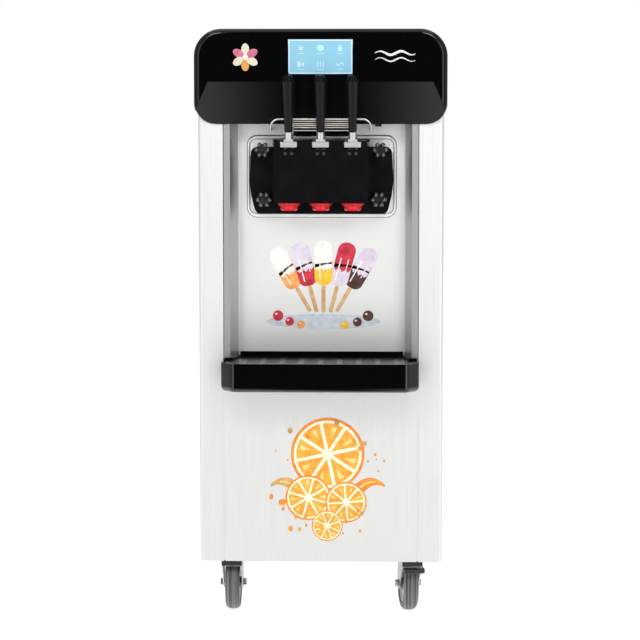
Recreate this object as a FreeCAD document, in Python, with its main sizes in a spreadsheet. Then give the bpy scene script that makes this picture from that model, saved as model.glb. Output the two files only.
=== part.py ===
import FreeCAD, Part
import math
import os
import Sketcher

# Floor-standing soft serve machine with two freezing cylinders and three draw handles.
# Axes: X to the right, the front faces -Y, Z up. Origin on the floor under the centre. Millimetres.

V = FreeCAD.Vector
doc = FreeCAD.newDocument("SoftServeMachine")
sheet = doc.addObject("Spreadsheet::Sheet", "Sizes")
PIECES = []


class Dim:
    """A size that carries its number and the spreadsheet expression it comes from."""

    def __init__(self, value, text=None):
        self.value = float(value)
        self.text = text if text is not None else "%.6g" % float(value)

    def joined(self, other, sign, value):
        return Dim(value, "(%s %s %s)" % (self.text, sign, dim(other).text))

    def __add__(self, other):
        return self.joined(other, "+", self.value + dim(other).value)

    def __sub__(self, other):
        return self.joined(other, "-", self.value - dim(other).value)

    def __mul__(self, other):
        return self.joined(other, "*", self.value * dim(other).value)

    def __truediv__(self, other):
        return self.joined(other, "/", self.value / dim(other).value)

    def __neg__(self):
        return Dim(-self.value, "(-1 * %s)" % self.text)


def dim(value):
    return value if isinstance(value, Dim) else Dim(value)


class Sizes:
    """The driving dimensions, each a cell of the spreadsheet with its name as alias."""

    def __init__(self, rows):
        for row, (name, value, note) in enumerate(rows, start=1):
            sheet.set("A%d" % row, name)
            sheet.set("B%d" % row, str(value))
            sheet.set("C%d" % row, note)
            sheet.setAlias("B%d" % row, name)
            setattr(self, name, Dim(value, "Sizes." + name))


S = Sizes([
    ("cabinet_width", 540, "over the side panels"),
    ("cabinet_front", -260, "front plane of the columns"),
    ("cabinet_rear", 365, "outside of the rear panel"),
    ("cabinet_bottom", 124, "lower edge of the panels"),
    ("cabinet_top", 1262, "upper face of the top panel"),
    ("sheet_metal", 1.5, "thickness of the steel panels"),
    ("column_width", 54, "front return of each side panel"),
    ("hood_depth", 4, "how far a louvre's hood stands out"),
    ("frame_leg", 30, "legs of the frame's angle iron"),
    ("frame_sheet", 3, "thickness of the frame's angle iron"),
    ("frame_base", 146, "underside of the frame"),
    ("flange_width", 429, "over the flanges of the dispensing panel"),
    ("recess_mouth", 401, "recess width at the front"),
    ("recess_back", 371, "recess width at the back"),
    ("panel_depth", -190, "front face of the dispensing panel"),
    ("recess_top", 1130, "upper edge of the dispensing panel"),
    ("tray_bottom", 519, "underside of the drip tray"),
    ("tray_top", 582, "rim of the drip tray"),
    ("tray_width", 431, "drip tray in front of the cabinet"),
    ("tray_front", -375, "front of the drip tray"),
    ("tray_wall", 4, "wall of the drip tray"),
    ("tray_step", -262, "where the tray enters the recess"),
    ("cowl_width", 552, "head cowl"),
    ("cowl_top", 1305, "top of the head cowl"),
    ("cowl_bottom", 1098, "lower edge of the head cowl"),
    ("cowl_front", -305, "face of the head cowl"),
    ("cowl_rear", -140, "rear edge of the head cowl"),
    ("cowl_crease", 1190, "edge between the face and the chin"),
    ("cowl_chin", -264, "lower front edge of the chin"),
    ("cowl_wall", 3, "wall of the head cowl"),
    ("cowl_corner", 60, "radius of the upper corners"),
    ("cowl_lower_corner", 46, "radius of the lower corners"),
    ("cowl_edge", 12, "rounding of the edges of the face"),
    ("chin_width", 490, "chin at the crease"),
    ("chin_spread", 82, "chin's extra width at its lower edge"),
    ("screen_width", 139, "touch screen glass"),
    ("screen_height", 74, "touch screen glass"),
    ("screen_centre", 1244, "height of the touch screen centre"),
    ("cylinder_pitch", 150, "between the freezing cylinders"),
    ("cylinder_height", 985, "axis of the freezing cylinders"),
    ("cylinder_bore", 50, "inner radius of a freezing cylinder"),
    ("cylinder_wall", 2.5, "wall of a freezing cylinder"),
    ("cylinder_rear", 160, "rear end of a freezing cylinder"),
    ("door_width", 312, "freezer door"),
    ("door_bottom", 899, "lower edge of the freezer door"),
    ("door_shoulder", 1047, "upper edge beside the handles"),
    ("door_top", 1063, "upper edge at the handles"),
    ("door_plate_front", -218, "front face of the door's base plate"),
    ("door_block_front", -290, "front face of the door's valve block"),
    ("door_block_width", 206, "valve block"),
    ("door_block_bottom", 926, "underside of the valve block"),
    ("rim_width", 332, "polished rim round the door"),
    ("rim_height", 182, "polished rim round the door"),
    ("handle_pitch", 70, "between neighbouring handles"),
    ("pivot_y", -280, "axis of the handles"),
    ("pivot_z", 1055, "axis of the handles"),
    ("pivot_radius", 4, "handle pivot pin"),
    ("valve_y", -259, "axis of the draw valves"),
    ("valve_bore", 13, "radius of a valve bore"),
    ("valve_radius", 12.92, "radius of a draw valve"),
    ("handle_lean", 20, "degrees that the handles lean forward"),
    ("arm_reach", 22.5, "from the pivot to the rounded end of the lifting arm"),
    ("arm_drop", 32.5, "degrees below level of the arm at rest"),
    ("bail_y", -277, "wire bail in front of the chin"),
    ("bail_z", 1086, "arms of the wire bail"),
    ("bail_half", 110, "from the centre to an arm of the wire bail"),
    ("bail_rise", 23, "top wire over the arms"),
    ("bail_wire", 2.2, "radius of the bail's wire"),
    ("grip_start", 30, "from the pivot to the lower end of a grip"),
    ("grip_length", 129, "handle grip"),
    ("grip_top_radius", 13, "grip near its upper end"),
    ("grip_low_radius", 9, "grip at its lower end"),
    ("knob_radius", 17.5, "star knob over its lobes"),
    ("knob_upper_x", 130, "upper star knobs"),
    ("knob_upper_z", 1041, "upper star knobs"),
    ("knob_lower_x", 127, "lower star knobs"),
    ("knob_lower_z", 931, "lower star knobs"),
    ("cap_rim_radius", 25, "nozzle cap rim"),
    ("cap_body_radius", 19, "nozzle cap body"),
    ("cap_bottom", 908, "lower end of a nozzle cap"),
    ("caster_x", 200, "swivel axes"),
    ("caster_front", -220, "front swivel axes"),
    ("caster_rear", 278, "rear swivel axes"),
    ("caster_trail", 32, "from the swivel axis to the wheel axis"),
    ("wheel_radius", 60, "caster wheel"),
    ("wheel_width", 32, "caster wheel"),
    ("fork_width", 45, "over the legs of a caster fork"),
    ("hopper_x", 118, "centre of a mix hopper"),
    ("hopper_width", 204, "mix hopper"),
    ("hopper_front", -70, "front wall of a mix hopper"),
    ("hopper_rear", 230, "rear wall of a mix hopper"),
    ("hopper_bottom", 1120, "underside of a mix hopper"),
    ("hopper_wall", 2, "wall of a mix hopper"),
])
doc.recompute()

AXES = {"z": "XY_Plane", "y": "XZ_Plane", "x": "YZ_Plane"}
HALF = S.cabinet_width / 2


# ---- building blocks -------------------------------------------------------

def body(label):
    piece = doc.addObject("PartDesign::Body", label)
    piece.Label = label
    return piece


def keep(piece):
    PIECES.append(piece)
    return piece


def rect(x0, y0, x1, y1):
    return [(x0, y0), (x1, y0), (x1, y1), (x0, y1)]


def centred(width, y0, y1):
    return rect(-dim(width) / 2, y0, dim(width) / 2, y1)


def circle(x, y, radius):
    return ("circle", x, y, radius)


def mirrored(profiles):
    """The same profiles with their mirror images across the sketch's vertical axis."""
    twins = []
    for profile in profiles:
        if profile[0] == "circle":
            twins.append(circle(-dim(profile[1]), profile[2], profile[3]))
        else:
            twins.append([(-dim(a), b) for a, b in reversed(profile)])
    return list(profiles) + twins


def ring_points(count, radius, start=0.0):
    """Evenly spaced places on a circle, as (x, y) pairs."""
    for index in range(count):
        angle = math.radians(start + 360.0 * index / count)
        yield radius * math.cos(angle), radius * math.sin(angle)


def bind_point(sketch, geometry, point, x, y):
    for kind, value in (("DistanceX", dim(x)), ("DistanceY", dim(y))):
        index = sketch.addConstraint(Sketcher.Constraint(kind, -1, 1, geometry, point, value.value))
        sketch.setExpression("Constraints[%d]" % index, value.text)


def draw(sketch, profile):
    """Add one closed profile to a sketch, every point bound to the spreadsheet."""
    first = sketch.GeometryCount
    if profile[0] == "circle":
        x, y, radius = [dim(value) for value in profile[1:]]
        sketch.addGeometry(Part.Circle(V(x.value, y.value, 0), V(0, 0, 1), radius.value))
        bind_point(sketch, first, 3, x, y)
        index = sketch.addConstraint(Sketcher.Constraint("Radius", first, radius.value))
        sketch.setExpression("Constraints[%d]" % index, radius.text)
        return
    points = [(dim(a), dim(b)) for a, b in profile]
    count = len(points)
    corners = [V(a.value, b.value, 0) for a, b in points]
    for index in range(count):
        sketch.addGeometry(Part.LineSegment(corners[index], corners[(index + 1) % count]))
    for index in range(count):
        after = first + (index + 1) % count
        sketch.addConstraint(Sketcher.Constraint("Coincident", first + index, 2, after, 1))
    for index, (a, b) in enumerate(points):
        bind_point(sketch, first + index, 1, a, b)


def sketch_on(piece, axis, offset, profiles):
    """A sketch square to an axis. Square to Y it shows X across and Z up, to X it shows Y and Z."""
    sketch = piece.newObject("Sketcher::SketchObject", "Sketch")
    plane = [item for item in piece.Origin.OriginFeatures if item.Role == AXES[axis]][0]
    sketch.AttachmentSupport = (plane, [""])
    sketch.MapMode = "FlatFace"
    offset = -dim(offset) if axis == "y" else dim(offset)
    sketch.AttachmentOffset = FreeCAD.Placement(V(0, 0, offset.value), FreeCAD.Rotation())
    sketch.setExpression("AttachmentOffset.Base.z", offset.text)
    for profile in profiles:
        draw(sketch, profile)
    return sketch


def add(piece, axis, low, high, *profiles):
    """Pad closed profiles from one level to another along an axis."""
    low, high = dim(low), dim(high)
    pad = piece.newObject("PartDesign::Pad", "Pad")
    pad.Profile = sketch_on(piece, axis, high if axis == "y" else low, profiles)
    pad.Length = high.value - low.value
    pad.setExpression("Length", (high - low).text)
    return pad


def cut(piece, axis, low, high, *profiles):
    """Pocket closed profiles from one level to another along an axis."""
    low, high = dim(low), dim(high)
    doc.recompute()
    before = piece.Shape.Volume
    pocket = piece.newObject("PartDesign::Pocket", "Pocket")
    pocket.Profile = sketch_on(piece, axis, low if axis == "y" else high, profiles)
    pocket.Length = high.value - low.value
    pocket.setExpression("Length", (high - low).text)
    doc.recompute()
    if piece.Shape.Volume > before - 1e-3:
        raise RuntimeError("%s: a pocket removes nothing" % piece.Label)
    return pocket


def spin(piece, profile):
    """Revolve a half section, radius across and height up, round the vertical axis."""
    doc.recompute()
    feature = piece.newObject("PartDesign::Revolution", "Turned")
    feature.Profile = sketch_on(piece, "y", 0, [profile])
    feature.ReferenceAxis = (feature.Profile[0], ["V_Axis"])
    feature.Angle = 360
    return feature


def coil(piece, profile, length, turns):
    """Wind a profile, radius across and Y up, into a ribbon round the Y axis."""
    doc.recompute()
    feature = piece.newObject("PartDesign::AdditiveHelix", "Ribbon")
    feature.Profile = sketch_on(piece, "z", 0, [profile])
    feature.ReferenceAxis = (feature.Profile[0], ["V_Axis"])
    feature.Mode = "height-turns-growth"
    feature.Height = length.value
    feature.setExpression("Height", length.text)
    feature.Turns = turns
    doc.recompute()
    return feature


def bend_wire(piece, y, half, low, top, bend, radius):
    """Sweep a round wire up one side, across and down the other, with bent corners."""
    doc.recompute()
    path = piece.newObject("Sketcher::SketchObject", "Route")
    plane = [item for item in piece.Origin.OriginFeatures if item.Role == AXES["y"]][0]
    path.AttachmentSupport = (plane, [""])
    path.MapMode = "FlatFace"
    path.AttachmentOffset = FreeCAD.Placement(V(0, 0, -y.value), FreeCAD.Rotation())
    path.setExpression("AttachmentOffset.Base.z", (-y).text)
    across, up, low = half.value, top.value, low.value
    path.addGeometry(Part.LineSegment(V(-across, low, 0), V(-across, up - bend, 0)))
    path.addGeometry(Part.ArcOfCircle(Part.Circle(V(bend - across, up - bend, 0), V(0, 0, 1), bend),
                                      math.pi / 2, math.pi))
    path.addGeometry(Part.LineSegment(V(bend - across, up, 0), V(across - bend, up, 0)))
    path.addGeometry(Part.ArcOfCircle(Part.Circle(V(across - bend, up - bend, 0), V(0, 0, 1), bend),
                                      0, math.pi / 2))
    path.addGeometry(Part.LineSegment(V(across, up - bend, 0), V(across, low, 0)))
    for first, end, second, start in ((0, 2, 1, 2), (1, 1, 2, 1), (2, 2, 3, 2), (3, 1, 4, 1)):
        path.addConstraint(Sketcher.Constraint("Coincident", first, end, second, start))
    doc.recompute()
    pipe = piece.newObject("PartDesign::AdditivePipe", "Wire")
    pipe.Profile = sketch_on(piece, "z", low, [circle(-half, y, radius)])
    pipe.Spine = (path, ["Edge%d" % number for number in range(1, 6)])
    doc.recompute()


def around(piece, feature, count):
    """Repeat a feature round the axis of its own sketch."""
    doc.recompute()
    pattern = piece.newObject("PartDesign::PolarPattern", "Ring")
    pattern.Originals = [feature]
    pattern.Axis = (feature.Profile[0], ["N_Axis"])
    pattern.Angle = 360
    pattern.Occurrences = count
    piece.Tip = pattern
    doc.recompute()


def soften(piece, radius, pick, kind="PartDesign::Fillet"):
    """Round or bevel the edges of the newest feature that pick accepts."""
    doc.recompute()
    base = piece.Tip
    names = ["Edge%d" % number for number, edge in enumerate(base.Shape.Edges, start=1)
             if pick(edge)]
    if not names:
        raise RuntimeError("%s: no edge to soften" % piece.Label)
    feature = piece.newObject(kind, "Softened")
    feature.Base = (base, names)
    radius = dim(radius)
    if kind.endswith("Fillet"):
        feature.Radius = radius.value
        feature.setExpression("Radius", radius.text)
    else:
        feature.Size = radius.value
        feature.setExpression("Size", radius.text)
    doc.recompute()
    if "Invalid" in feature.State or not feature.Shape.isValid():
        raise RuntimeError("%s: an edge can't be softened by %s" % (piece.Label, radius.text))
    return feature


def repeat(piece, feature, direction, length, count):
    """Repeat a feature along an axis of its own sketch."""
    pattern = piece.newObject("PartDesign::LinearPattern", "Row")
    pattern.Originals = [feature]
    pattern.Direction = (feature.Profile[0], [direction])
    pattern.Length = length
    pattern.Occurrences = count
    piece.Tip = pattern
    doc.recompute()


def along(axis, where=lambda point: True):
    """Accept straight edges that run along an axis and whose middle satisfies where."""
    direction = {"x": V(1, 0, 0), "y": V(0, 1, 0), "z": V(0, 0, 1)}[axis]

    def pick(edge):
        if edge.Curve.TypeId != "Part::GeomLine":
            return False
        run = edge.Vertexes[-1].Point - edge.Vertexes[0].Point
        if abs(run.normalize().dot(direction)) < 0.999:
            return False
        return where(edge.CenterOfMass)
    return pick


def round_edges(where):
    """Accept circular edges whose centre satisfies where."""
    def pick(edge):
        return edge.Curve.TypeId == "Part::GeomCircle" and where(edge.Curve.Center)
    return pick


def place(piece, x=0, y=0, z=0, turn=None):
    """Move a piece, bound to the sheet, with an optional (axis, degrees) turn."""
    x, y, z = dim(x), dim(y), dim(z)
    rotation = FreeCAD.Rotation()
    if turn:
        rotation = FreeCAD.Rotation(V(*turn[0]), dim(turn[1]).value)
    piece.Placement = FreeCAD.Placement(V(x.value, y.value, z.value), rotation)
    for letter, value in (("x", x), ("y", y), ("z", z)):
        piece.setExpression("Placement.Base.%s" % letter, value.text)
    return piece


def joined(label, kind, base, tool):
    """A Part boolean of two pieces under a new label."""
    result = doc.addObject(kind, label)
    result.Label = label
    result.Base = base
    result.Tool = tool
    return result


# ---- frame and panels ------------------------------------------------------

def angle_section(x, y, leg, thick):
    """Angle iron seen from above: its heel at (x, y), its legs towards the rear or the front."""
    away = leg if dim(y).value < 0 else -dim(leg)
    skin = thick if dim(y).value < 0 else -dim(thick)
    outside = [(x - leg, y), (x, y), (x, y + away)]
    return outside + [(x - thick, y + away), (x - thick, y + skin), (x - leg, y + skin)]


def cabinet_frame():
    """Welded skeleton: channel base with a floor pan, angle posts, a motor shelf and a top ring."""
    piece = keep(body("cabinet_frame"))
    inset = Dim(4)
    side = HALF - inset
    front = S.cabinet_front + inset
    rear = S.cabinet_rear - inset
    leg, thick = S.frame_leg, S.frame_sheet
    low = S.frame_base
    outer = rect(-side, front, side, rear)

    def ring(width):
        return rect(-side + width, front + width, side - width, rear - width)

    add(piece, "z", low, low + thick, outer, ring(leg))
    add(piece, "z", low + thick, low + leg - 2, outer, ring(thick))
    add(piece, "z", low + leg - 2, low + leg, outer)
    pads = mirrored([rect(S.caster_x - 48, y - 36, S.caster_x + 48, y + 36)
                     for y in (S.caster_front + 2, S.caster_rear)])
    add(piece, "z", low, low + 5, *pads)
    posts = mirrored([angle_section(side, front, leg, thick), angle_section(side, rear, leg, thick)])
    add(piece, "z", low + leg, S.cabinet_top - 2, *posts)
    shelf_low, shelf = S.cylinder_height - 110, S.cylinder_height - 85
    add(piece, "z", shelf_low, shelf, *mirrored([rect(side - thick, front + thick, side, rear - thick)]))
    shelf_front, shelf_rear = Dim(150), Dim(250)
    add(piece, "z", shelf - thick, shelf, rect(-side, shelf_front, side, shelf_rear))
    add(piece, "z", shelf_low, shelf, rect(-side, shelf_front, side, shelf_front + thick),
        rect(-side, shelf_rear - thick, side, shelf_rear))
    add(piece, "z", S.cabinet_top - 2 - leg, S.cabinet_top - 2, outer, ring(thick))
    add(piece, "z", S.cabinet_top - 2 - thick, S.cabinet_top - 2, outer, ring(22))
    bolt = mirrored([circle(S.caster_x + dx, y + dy, 4.5) for y in (S.caster_front, S.caster_rear)
                     for dx in (-34, 34) for dy in (-26, 26)])
    cut(piece, "z", low - 1, low + leg + 1, *bolt)


def louvres(piece, axis, low, high, slots, hoods, count, pitch):
    """Cut slots under pressed hoods and repeat both upwards; hoods are (axis, low, high, profile)."""
    opening = cut(piece, axis, low, high, *slots)
    repeat(piece, opening, "V_Axis", pitch * (count - 1), count)
    for hood_axis, start, end, profile in hoods:
        hood = add(piece, hood_axis, start, end, profile)
        doc.recompute()
        repeat(piece, hood, "V_Axis", pitch * (count - 1), count)


def side_panel(label, sign):
    """Folded sheet: the side, the front column and a short rear return, with louvres."""
    piece = keep(body(label))
    thick = S.sheet_metal
    out = HALF * sign
    skin = out - thick * sign
    front, rear = S.cabinet_front, S.cabinet_rear
    column = out - S.column_width * sign
    section = [(column, front), (out, front), (out, rear), (skin, rear),
               (skin, front + thick), (column, front + thick)]
    add(piece, "z", S.cabinet_bottom, S.cabinet_top, section)
    inside = HALF.value - thick.value
    soften(piece, 5.5, along("z", lambda p: abs(abs(p.x) - inside) < 0.1 and p.y < -258))
    soften(piece, 7, along("z", lambda p: abs(p.x) > inside + 0.5 and p.y < -259))
    fields = (70, 190)
    slots = [rect(y, 300, y + 90, 306) for y in fields]
    hood = [(out, 313), (out, 305), (out + S.hood_depth * sign, 303), (out + S.hood_depth * sign, 306)]
    hoods = [("y", y - 2, y + 92, hood) for y in fields]
    louvres(piece, "x", out - 4, out + 4, slots, hoods, 12, 18)


def rear_panel():
    """Rear sheet with two fields of louvres and the hole for the cable gland."""
    piece = keep(body("rear_panel"))
    width = S.cabinet_width - 8
    add(piece, "y", S.cabinet_rear - 2.7, S.cabinet_rear - 1.2,
        centred(width, S.cabinet_bottom + 4, S.cabinet_top - 4))
    cut(piece, "y", S.cabinet_rear - 5, S.cabinet_rear, circle(200, 210, 10))
    face = S.cabinet_rear - 1.2
    fields = (-210, -65, 80)
    slots = [rect(x, 260, x + 130, 266) for x in fields]
    hood = [(face, 273), (face, 265), (face + S.hood_depth, 263), (face + S.hood_depth, 266)]
    hoods = [("x", x - 2, x + 132, hood) for x in fields]
    louvres(piece, "y", S.cabinet_rear - 5, S.cabinet_rear, slots, hoods, 14, 20)


def hopper_outline(sign, grow=0):
    """Plan of one hopper, grown by a margin."""
    centre = S.hopper_x * sign
    half = S.hopper_width / 2 + grow
    return rect(centre - half, S.hopper_front - grow, centre + half, S.hopper_rear + grow)


def top_panel():
    """Top sheet with the two hopper openings."""
    piece = keep(body("top_panel"))
    side = HALF - 2
    add(piece, "z", S.cabinet_top - 1.5, S.cabinet_top,
        rect(-side, S.cabinet_front + 60, side, S.cabinet_rear - 3))
    cut(piece, "z", S.cabinet_top - 3, S.cabinet_top + 1, hopper_outline(1, 1), hopper_outline(-1, 1))


def dispensing_panel():
    """Hat-section sheet: flanges, splayed reveals and the back that carries the cylinders."""
    piece = keep(body("dispensing_panel"))
    thick = S.sheet_metal
    front = S.cabinet_front + 0.5
    back = S.panel_depth
    flange = S.flange_width / 2
    mouth = S.recess_mouth / 2
    inner = S.recess_back / 2
    right = [(inner, back), (mouth, front), (flange, front)]
    behind = [(flange, front + thick), (mouth + thick, front + thick), (inner + thick, back + thick)]
    section = right + behind
    left = [(-a, b) for a, b in reversed(section)]
    add(piece, "z", S.tray_bottom, S.recess_top, section + left)
    mouths = mirrored([circle(S.cylinder_pitch / 2, S.cylinder_height, S.cylinder_bore + 3)])
    cut(piece, "y", back - 2, back + 4, *mouths)
    studs = mirrored([circle(S.knob_upper_x, S.knob_upper_z, 5.2),
                      circle(S.knob_lower_x, S.knob_lower_z, 5.2)])
    cut(piece, "y", back - 2, back + 4, *studs)


def lower_front_panel():
    """Service panel under the tray, its top folded back into the shelf that carries the tray."""
    piece = keep(body("lower_front_panel"))
    thick = S.sheet_metal
    front = S.cabinet_front
    top = S.tray_bottom - 0.5
    section = [(front, S.cabinet_bottom), (front + thick, S.cabinet_bottom),
               (front + thick, top - thick), (S.panel_depth - 2, top - thick),
               (S.panel_depth - 2, top), (front, top)]
    half = S.column_width - HALF + 3
    add(piece, "x", half, -half, section)
    notch = HALF - S.column_width - 12
    side = mirrored([rect(notch, front + thick + 1, notch + 20, front + 40)])
    cut(piece, "z", S.cabinet_bottom + 200, top + 1, *side)


# ---- head ------------------------------------------------------------------

def cowl_solid(label, inset):
    """Solid form of the head cowl, shrunk by an inset: a rounded face with the chin cut back below it."""
    piece = body(label)
    half = S.cowl_width / 2 - inset
    low, top = S.cowl_bottom + inset, S.cowl_top - inset
    front = S.cowl_front + inset
    add(piece, "y", front, S.cowl_rear + inset * 4, rect(-half, low, half, top))
    soften(piece, S.cowl_corner - inset, along("y", lambda p: p.z > top.value - 1))
    soften(piece, S.cowl_lower_corner - inset, along("y", lambda p: p.z < low.value + 1))
    soften(piece, S.cowl_edge - inset, lambda edge: abs(edge.CenterOfMass.y - front.value) < 0.5)
    doc.recompute()
    chin = piece.newObject("PartDesign::SubtractiveLoft", "Chin")
    upper = S.chin_width / 2 + inset
    lower = upper + S.chin_spread / 2
    ahead = front - 20
    chin.Profile = sketch_on(piece, "z", S.cowl_crease, [rect(-upper, ahead, upper, front - 0.01)])
    foot = rect(-lower, ahead, lower, S.cowl_chin + inset)
    chin.Sections = [sketch_on(piece, "z", S.cowl_bottom - 0.01, [foot])]
    chin.Ruled = True
    doc.recompute()
    return piece


def head_cowl():
    """Moulded cowl, open behind, with the screen's window and two ribs that rest on the top panel."""
    outside = cowl_solid("cowl_outside", 0)
    inside = cowl_solid("cowl_inside", S.cowl_wall.value)
    rib = rect(200, S.cabinet_top, 203, S.cowl_top)
    cut(inside, "y", S.cabinet_front + 62, S.cowl_rear + 13, *mirrored([rib]))
    hollow = joined("head_cowl_shell", "Part::Cut", outside, inside)
    openings = body("cowl_openings")
    half = S.screen_height / 2 + 0.5
    add(openings, "y", S.cowl_front - 10, S.cowl_front + 10,
        centred(S.screen_width + 1, S.screen_centre - half, S.screen_centre + half))
    # Below its lower corners the cowl stands only in front of the cabinet's columns.
    add(openings, "y", S.cabinet_front, S.cowl_rear + 20,
        centred(S.cowl_width + 20, S.cowl_bottom - 10, S.cowl_bottom + S.cowl_lower_corner))
    keep(joined("head_cowl", "Part::Cut", hollow, openings))


def touch_screen():
    """Glass front with the display module and its controller case behind it."""
    piece = keep(body("touch_screen"))
    half = S.screen_height / 2
    add(piece, "y", S.cowl_front - 1, S.cowl_front + 3,
        centred(S.screen_width, S.screen_centre - half, S.screen_centre + half))
    soften(piece, 3, along("y"))
    add(piece, "y", S.cowl_front + 3, S.cowl_front + 14,
        centred(S.screen_width - 6, S.screen_centre - half + 3, S.screen_centre + half - 3))
    add(piece, "y", S.cowl_front + 14, S.cowl_front + 40,
        centred(S.screen_width - 30, S.screen_centre - half + 6, S.screen_centre + half - 6))


# ---- freezing and drive ----------------------------------------------------

def freezing_cylinders():
    """Two barrels with a rear plate, a feed stub on top and a flange behind the dispensing panel."""
    piece = keep(body("freezing_cylinders"))
    bore, wall = S.cylinder_bore, S.cylinder_wall
    x, z = S.cylinder_pitch / 2, S.cylinder_height
    front = S.panel_depth + 0.5
    add(piece, "y", front, S.cylinder_rear, *mirrored([circle(x, z, bore + wall)]))
    flange = S.panel_depth + S.sheet_metal
    add(piece, "y", flange, flange + 3, *mirrored([circle(x, z, bore + 14)]))
    stub = mirrored([circle(x + 10, 60, 12)])
    add(piece, "z", z + 45, S.hopper_bottom - 0.5, *stub)
    cut(piece, "y", front - 1, S.cylinder_rear - 5, *mirrored([circle(x, z, bore)]))
    cut(piece, "y", S.cylinder_rear - 6, S.cylinder_rear + 1, *mirrored([circle(x, z, 9.05)]))
    cut(piece, "z", z + 20, S.hopper_bottom, *mirrored([circle(x + 10, 60, 9)]))


def cylinder_insulation():
    """Foam block round both barrels."""
    piece = keep(body("cylinder_insulation"))
    x, z = S.cylinder_pitch / 2, S.cylinder_height
    fit = S.cylinder_bore + S.cylinder_wall + 0.3
    add(piece, "y", S.panel_depth + 14, S.cylinder_rear - 4, centred(320, z - 85, z + 72))
    cut(piece, "y", S.panel_depth, S.cylinder_rear, *mirrored([circle(x, z, fit)]))
    cut(piece, "z", z, z + 80, *mirrored([circle(x + 10, 60, 12.3)]))


def beater(label, sign):
    """Dasher: drive disc and shaft, helical ribbon on three bars, two scraper blades, bearing ring."""
    piece = keep(body(label))
    reach = S.cylinder_bore - 1.5
    bar_circle = reach - 7
    front, rear = S.panel_depth + 18, S.cylinder_rear - 12
    add(piece, "y", rear - 8, rear, circle(0, 0, reach))
    add(piece, "y", rear, S.cylinder_rear + 13, circle(0, 0, 9))
    add(piece, "y", front, front + 8, circle(0, 0, reach), circle(0, 0, reach - 9))
    around(piece, add(piece, "y", front + 8, rear - 8, circle(bar_circle, 0, 4)), 3)
    coil(piece, rect(reach - 12, front + 4, reach - 2, front + 8), rear - front - 12, 3)
    tip = S.cylinder_bore - 0.6
    blade = [(-5, bar_circle), (2, bar_circle - 2), (13, tip - 3), (12, tip - 2)]
    around(piece, add(piece, "y", front + 20, rear - 20, blade), 2)
    place(piece, S.cylinder_pitch / 2 * sign, 0, S.cylinder_height)


def gear_motors():
    """Reduction gearboxes with their motors, one behind each barrel."""
    piece = keep(body("gear_motors"))
    x, z = S.cylinder_pitch / 2, S.cylinder_height
    start = S.cylinder_rear
    box = mirrored([rect(x - 55, z - 85, x + 55, z + 55)])
    add(piece, "y", start, start + 84, *box)
    soften(piece, 10, along("y"))
    cut(piece, "y", start - 1, start + 14, *mirrored([circle(x, z, 9.3)]))
    add(piece, "y", start + 84, S.cabinet_rear - 12, *mirrored([circle(x, z, 50)]))
    for y in (275, 295, 315):
        add(piece, "y", y, y + 6, *mirrored([circle(x, z, 53)]))


def compressor():
    """Hermetic compressor shell on its feet."""
    piece = keep(body("compressor"))
    z = S.frame_base + S.frame_leg
    shell = [(0, z + 14), (62, z + 14), (78, z + 40), (78, z + 170), (56, z + 214), (0, z + 222)]
    spin(piece, shell)
    doc.recompute()
    add(piece, "z", z, z + 16, *[circle(a, b, 14) for a, b in ring_points(4, 84, 45)])
    add(piece, "z", z + 10, z + 16, rect(-66, -66, 66, 66))
    place(piece, -130, 60, 0)


def condenser():
    """Finned coil block standing behind the rear louvres."""
    piece = keep(body("condenser"))
    z = S.frame_base + S.frame_leg
    add(piece, "y", 312, 352, centred(330, z + 20, z + 340))
    add(piece, "y", 308, 356, *[centred(344, z + level, z + level + 14) for level in (6, 340)])
    add(piece, "z", z, z + 8, rect(-150, 318, 150, 346))
    gap = cut(piece, "y", 345, 353, rect(-158, z + 26, -153, z + 334))
    repeat(piece, gap, "H_Axis", 312, 27)


def fan_shroud():
    """Square shroud with the fan ring, motor and its three arms."""
    piece = keep(body("fan_shroud"))
    z = S.frame_base + S.frame_leg
    centre = z + 180
    add(piece, "y", 262, 306, centred(320, z + 30, z + 330), circle(0, centre, 140))
    arm = [rect(-5, centre - 150, 5, centre + 150)]
    add(piece, "y", 256, 262, *arm)
    add(piece, "y", 256, 262, centred(300, centre - 5, centre + 5))
    add(piece, "y", 220, 262, circle(0, centre, 38))
    soften(piece, 8, round_edges(lambda p: p.y < 221))
    add(piece, "y", 262, 296, circle(0, centre, 5))


def condenser_fan():
    """Five-bladed fan, its blades set at an angle on the hub."""
    piece = keep(body("condenser_fan"))
    blade = piece.newObject("PartDesign::AdditiveBox", "Blade")
    blade.Length, blade.Width, blade.Height = 102, 3, 62
    tilt = FreeCAD.Placement(V(28, 284, 0), FreeCAD.Rotation(V(1, 0, 0), 32))
    blade.Placement = tilt.multiply(FreeCAD.Placement(V(0, -1.5, -31), FreeCAD.Rotation()))
    doc.recompute()
    ring = piece.newObject("PartDesign::PolarPattern", "Blades")
    ring.Originals = [blade]
    ring.Axis = ([item for item in piece.Origin.OriginFeatures if item.Role == "Y_Axis"][0], [""])
    ring.Angle = 360
    ring.Occurrences = 5
    piece.Tip = ring
    doc.recompute()
    add(piece, "y", 268, 300, circle(0, 0, 30))
    soften(piece, 6, round_edges(lambda p: p.y < 269))
    cut(piece, "y", 267, 297, circle(0, 0, 5.06))
    place(piece, 0, 0, S.frame_base + S.frame_leg + 180)


def hopper_block(label, sign, inset, top):
    """Rounded block, the outside or the inside of a hopper."""
    piece = body(label)
    low = S.hopper_bottom + inset
    add(piece, "z", low, top, hopper_outline(sign, -inset))
    soften(piece, 20 - inset, along("z"))
    soften(piece, 14 - inset, lambda edge: abs(edge.CenterOfMass.z - low.value) < 0.1)
    return piece


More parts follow.
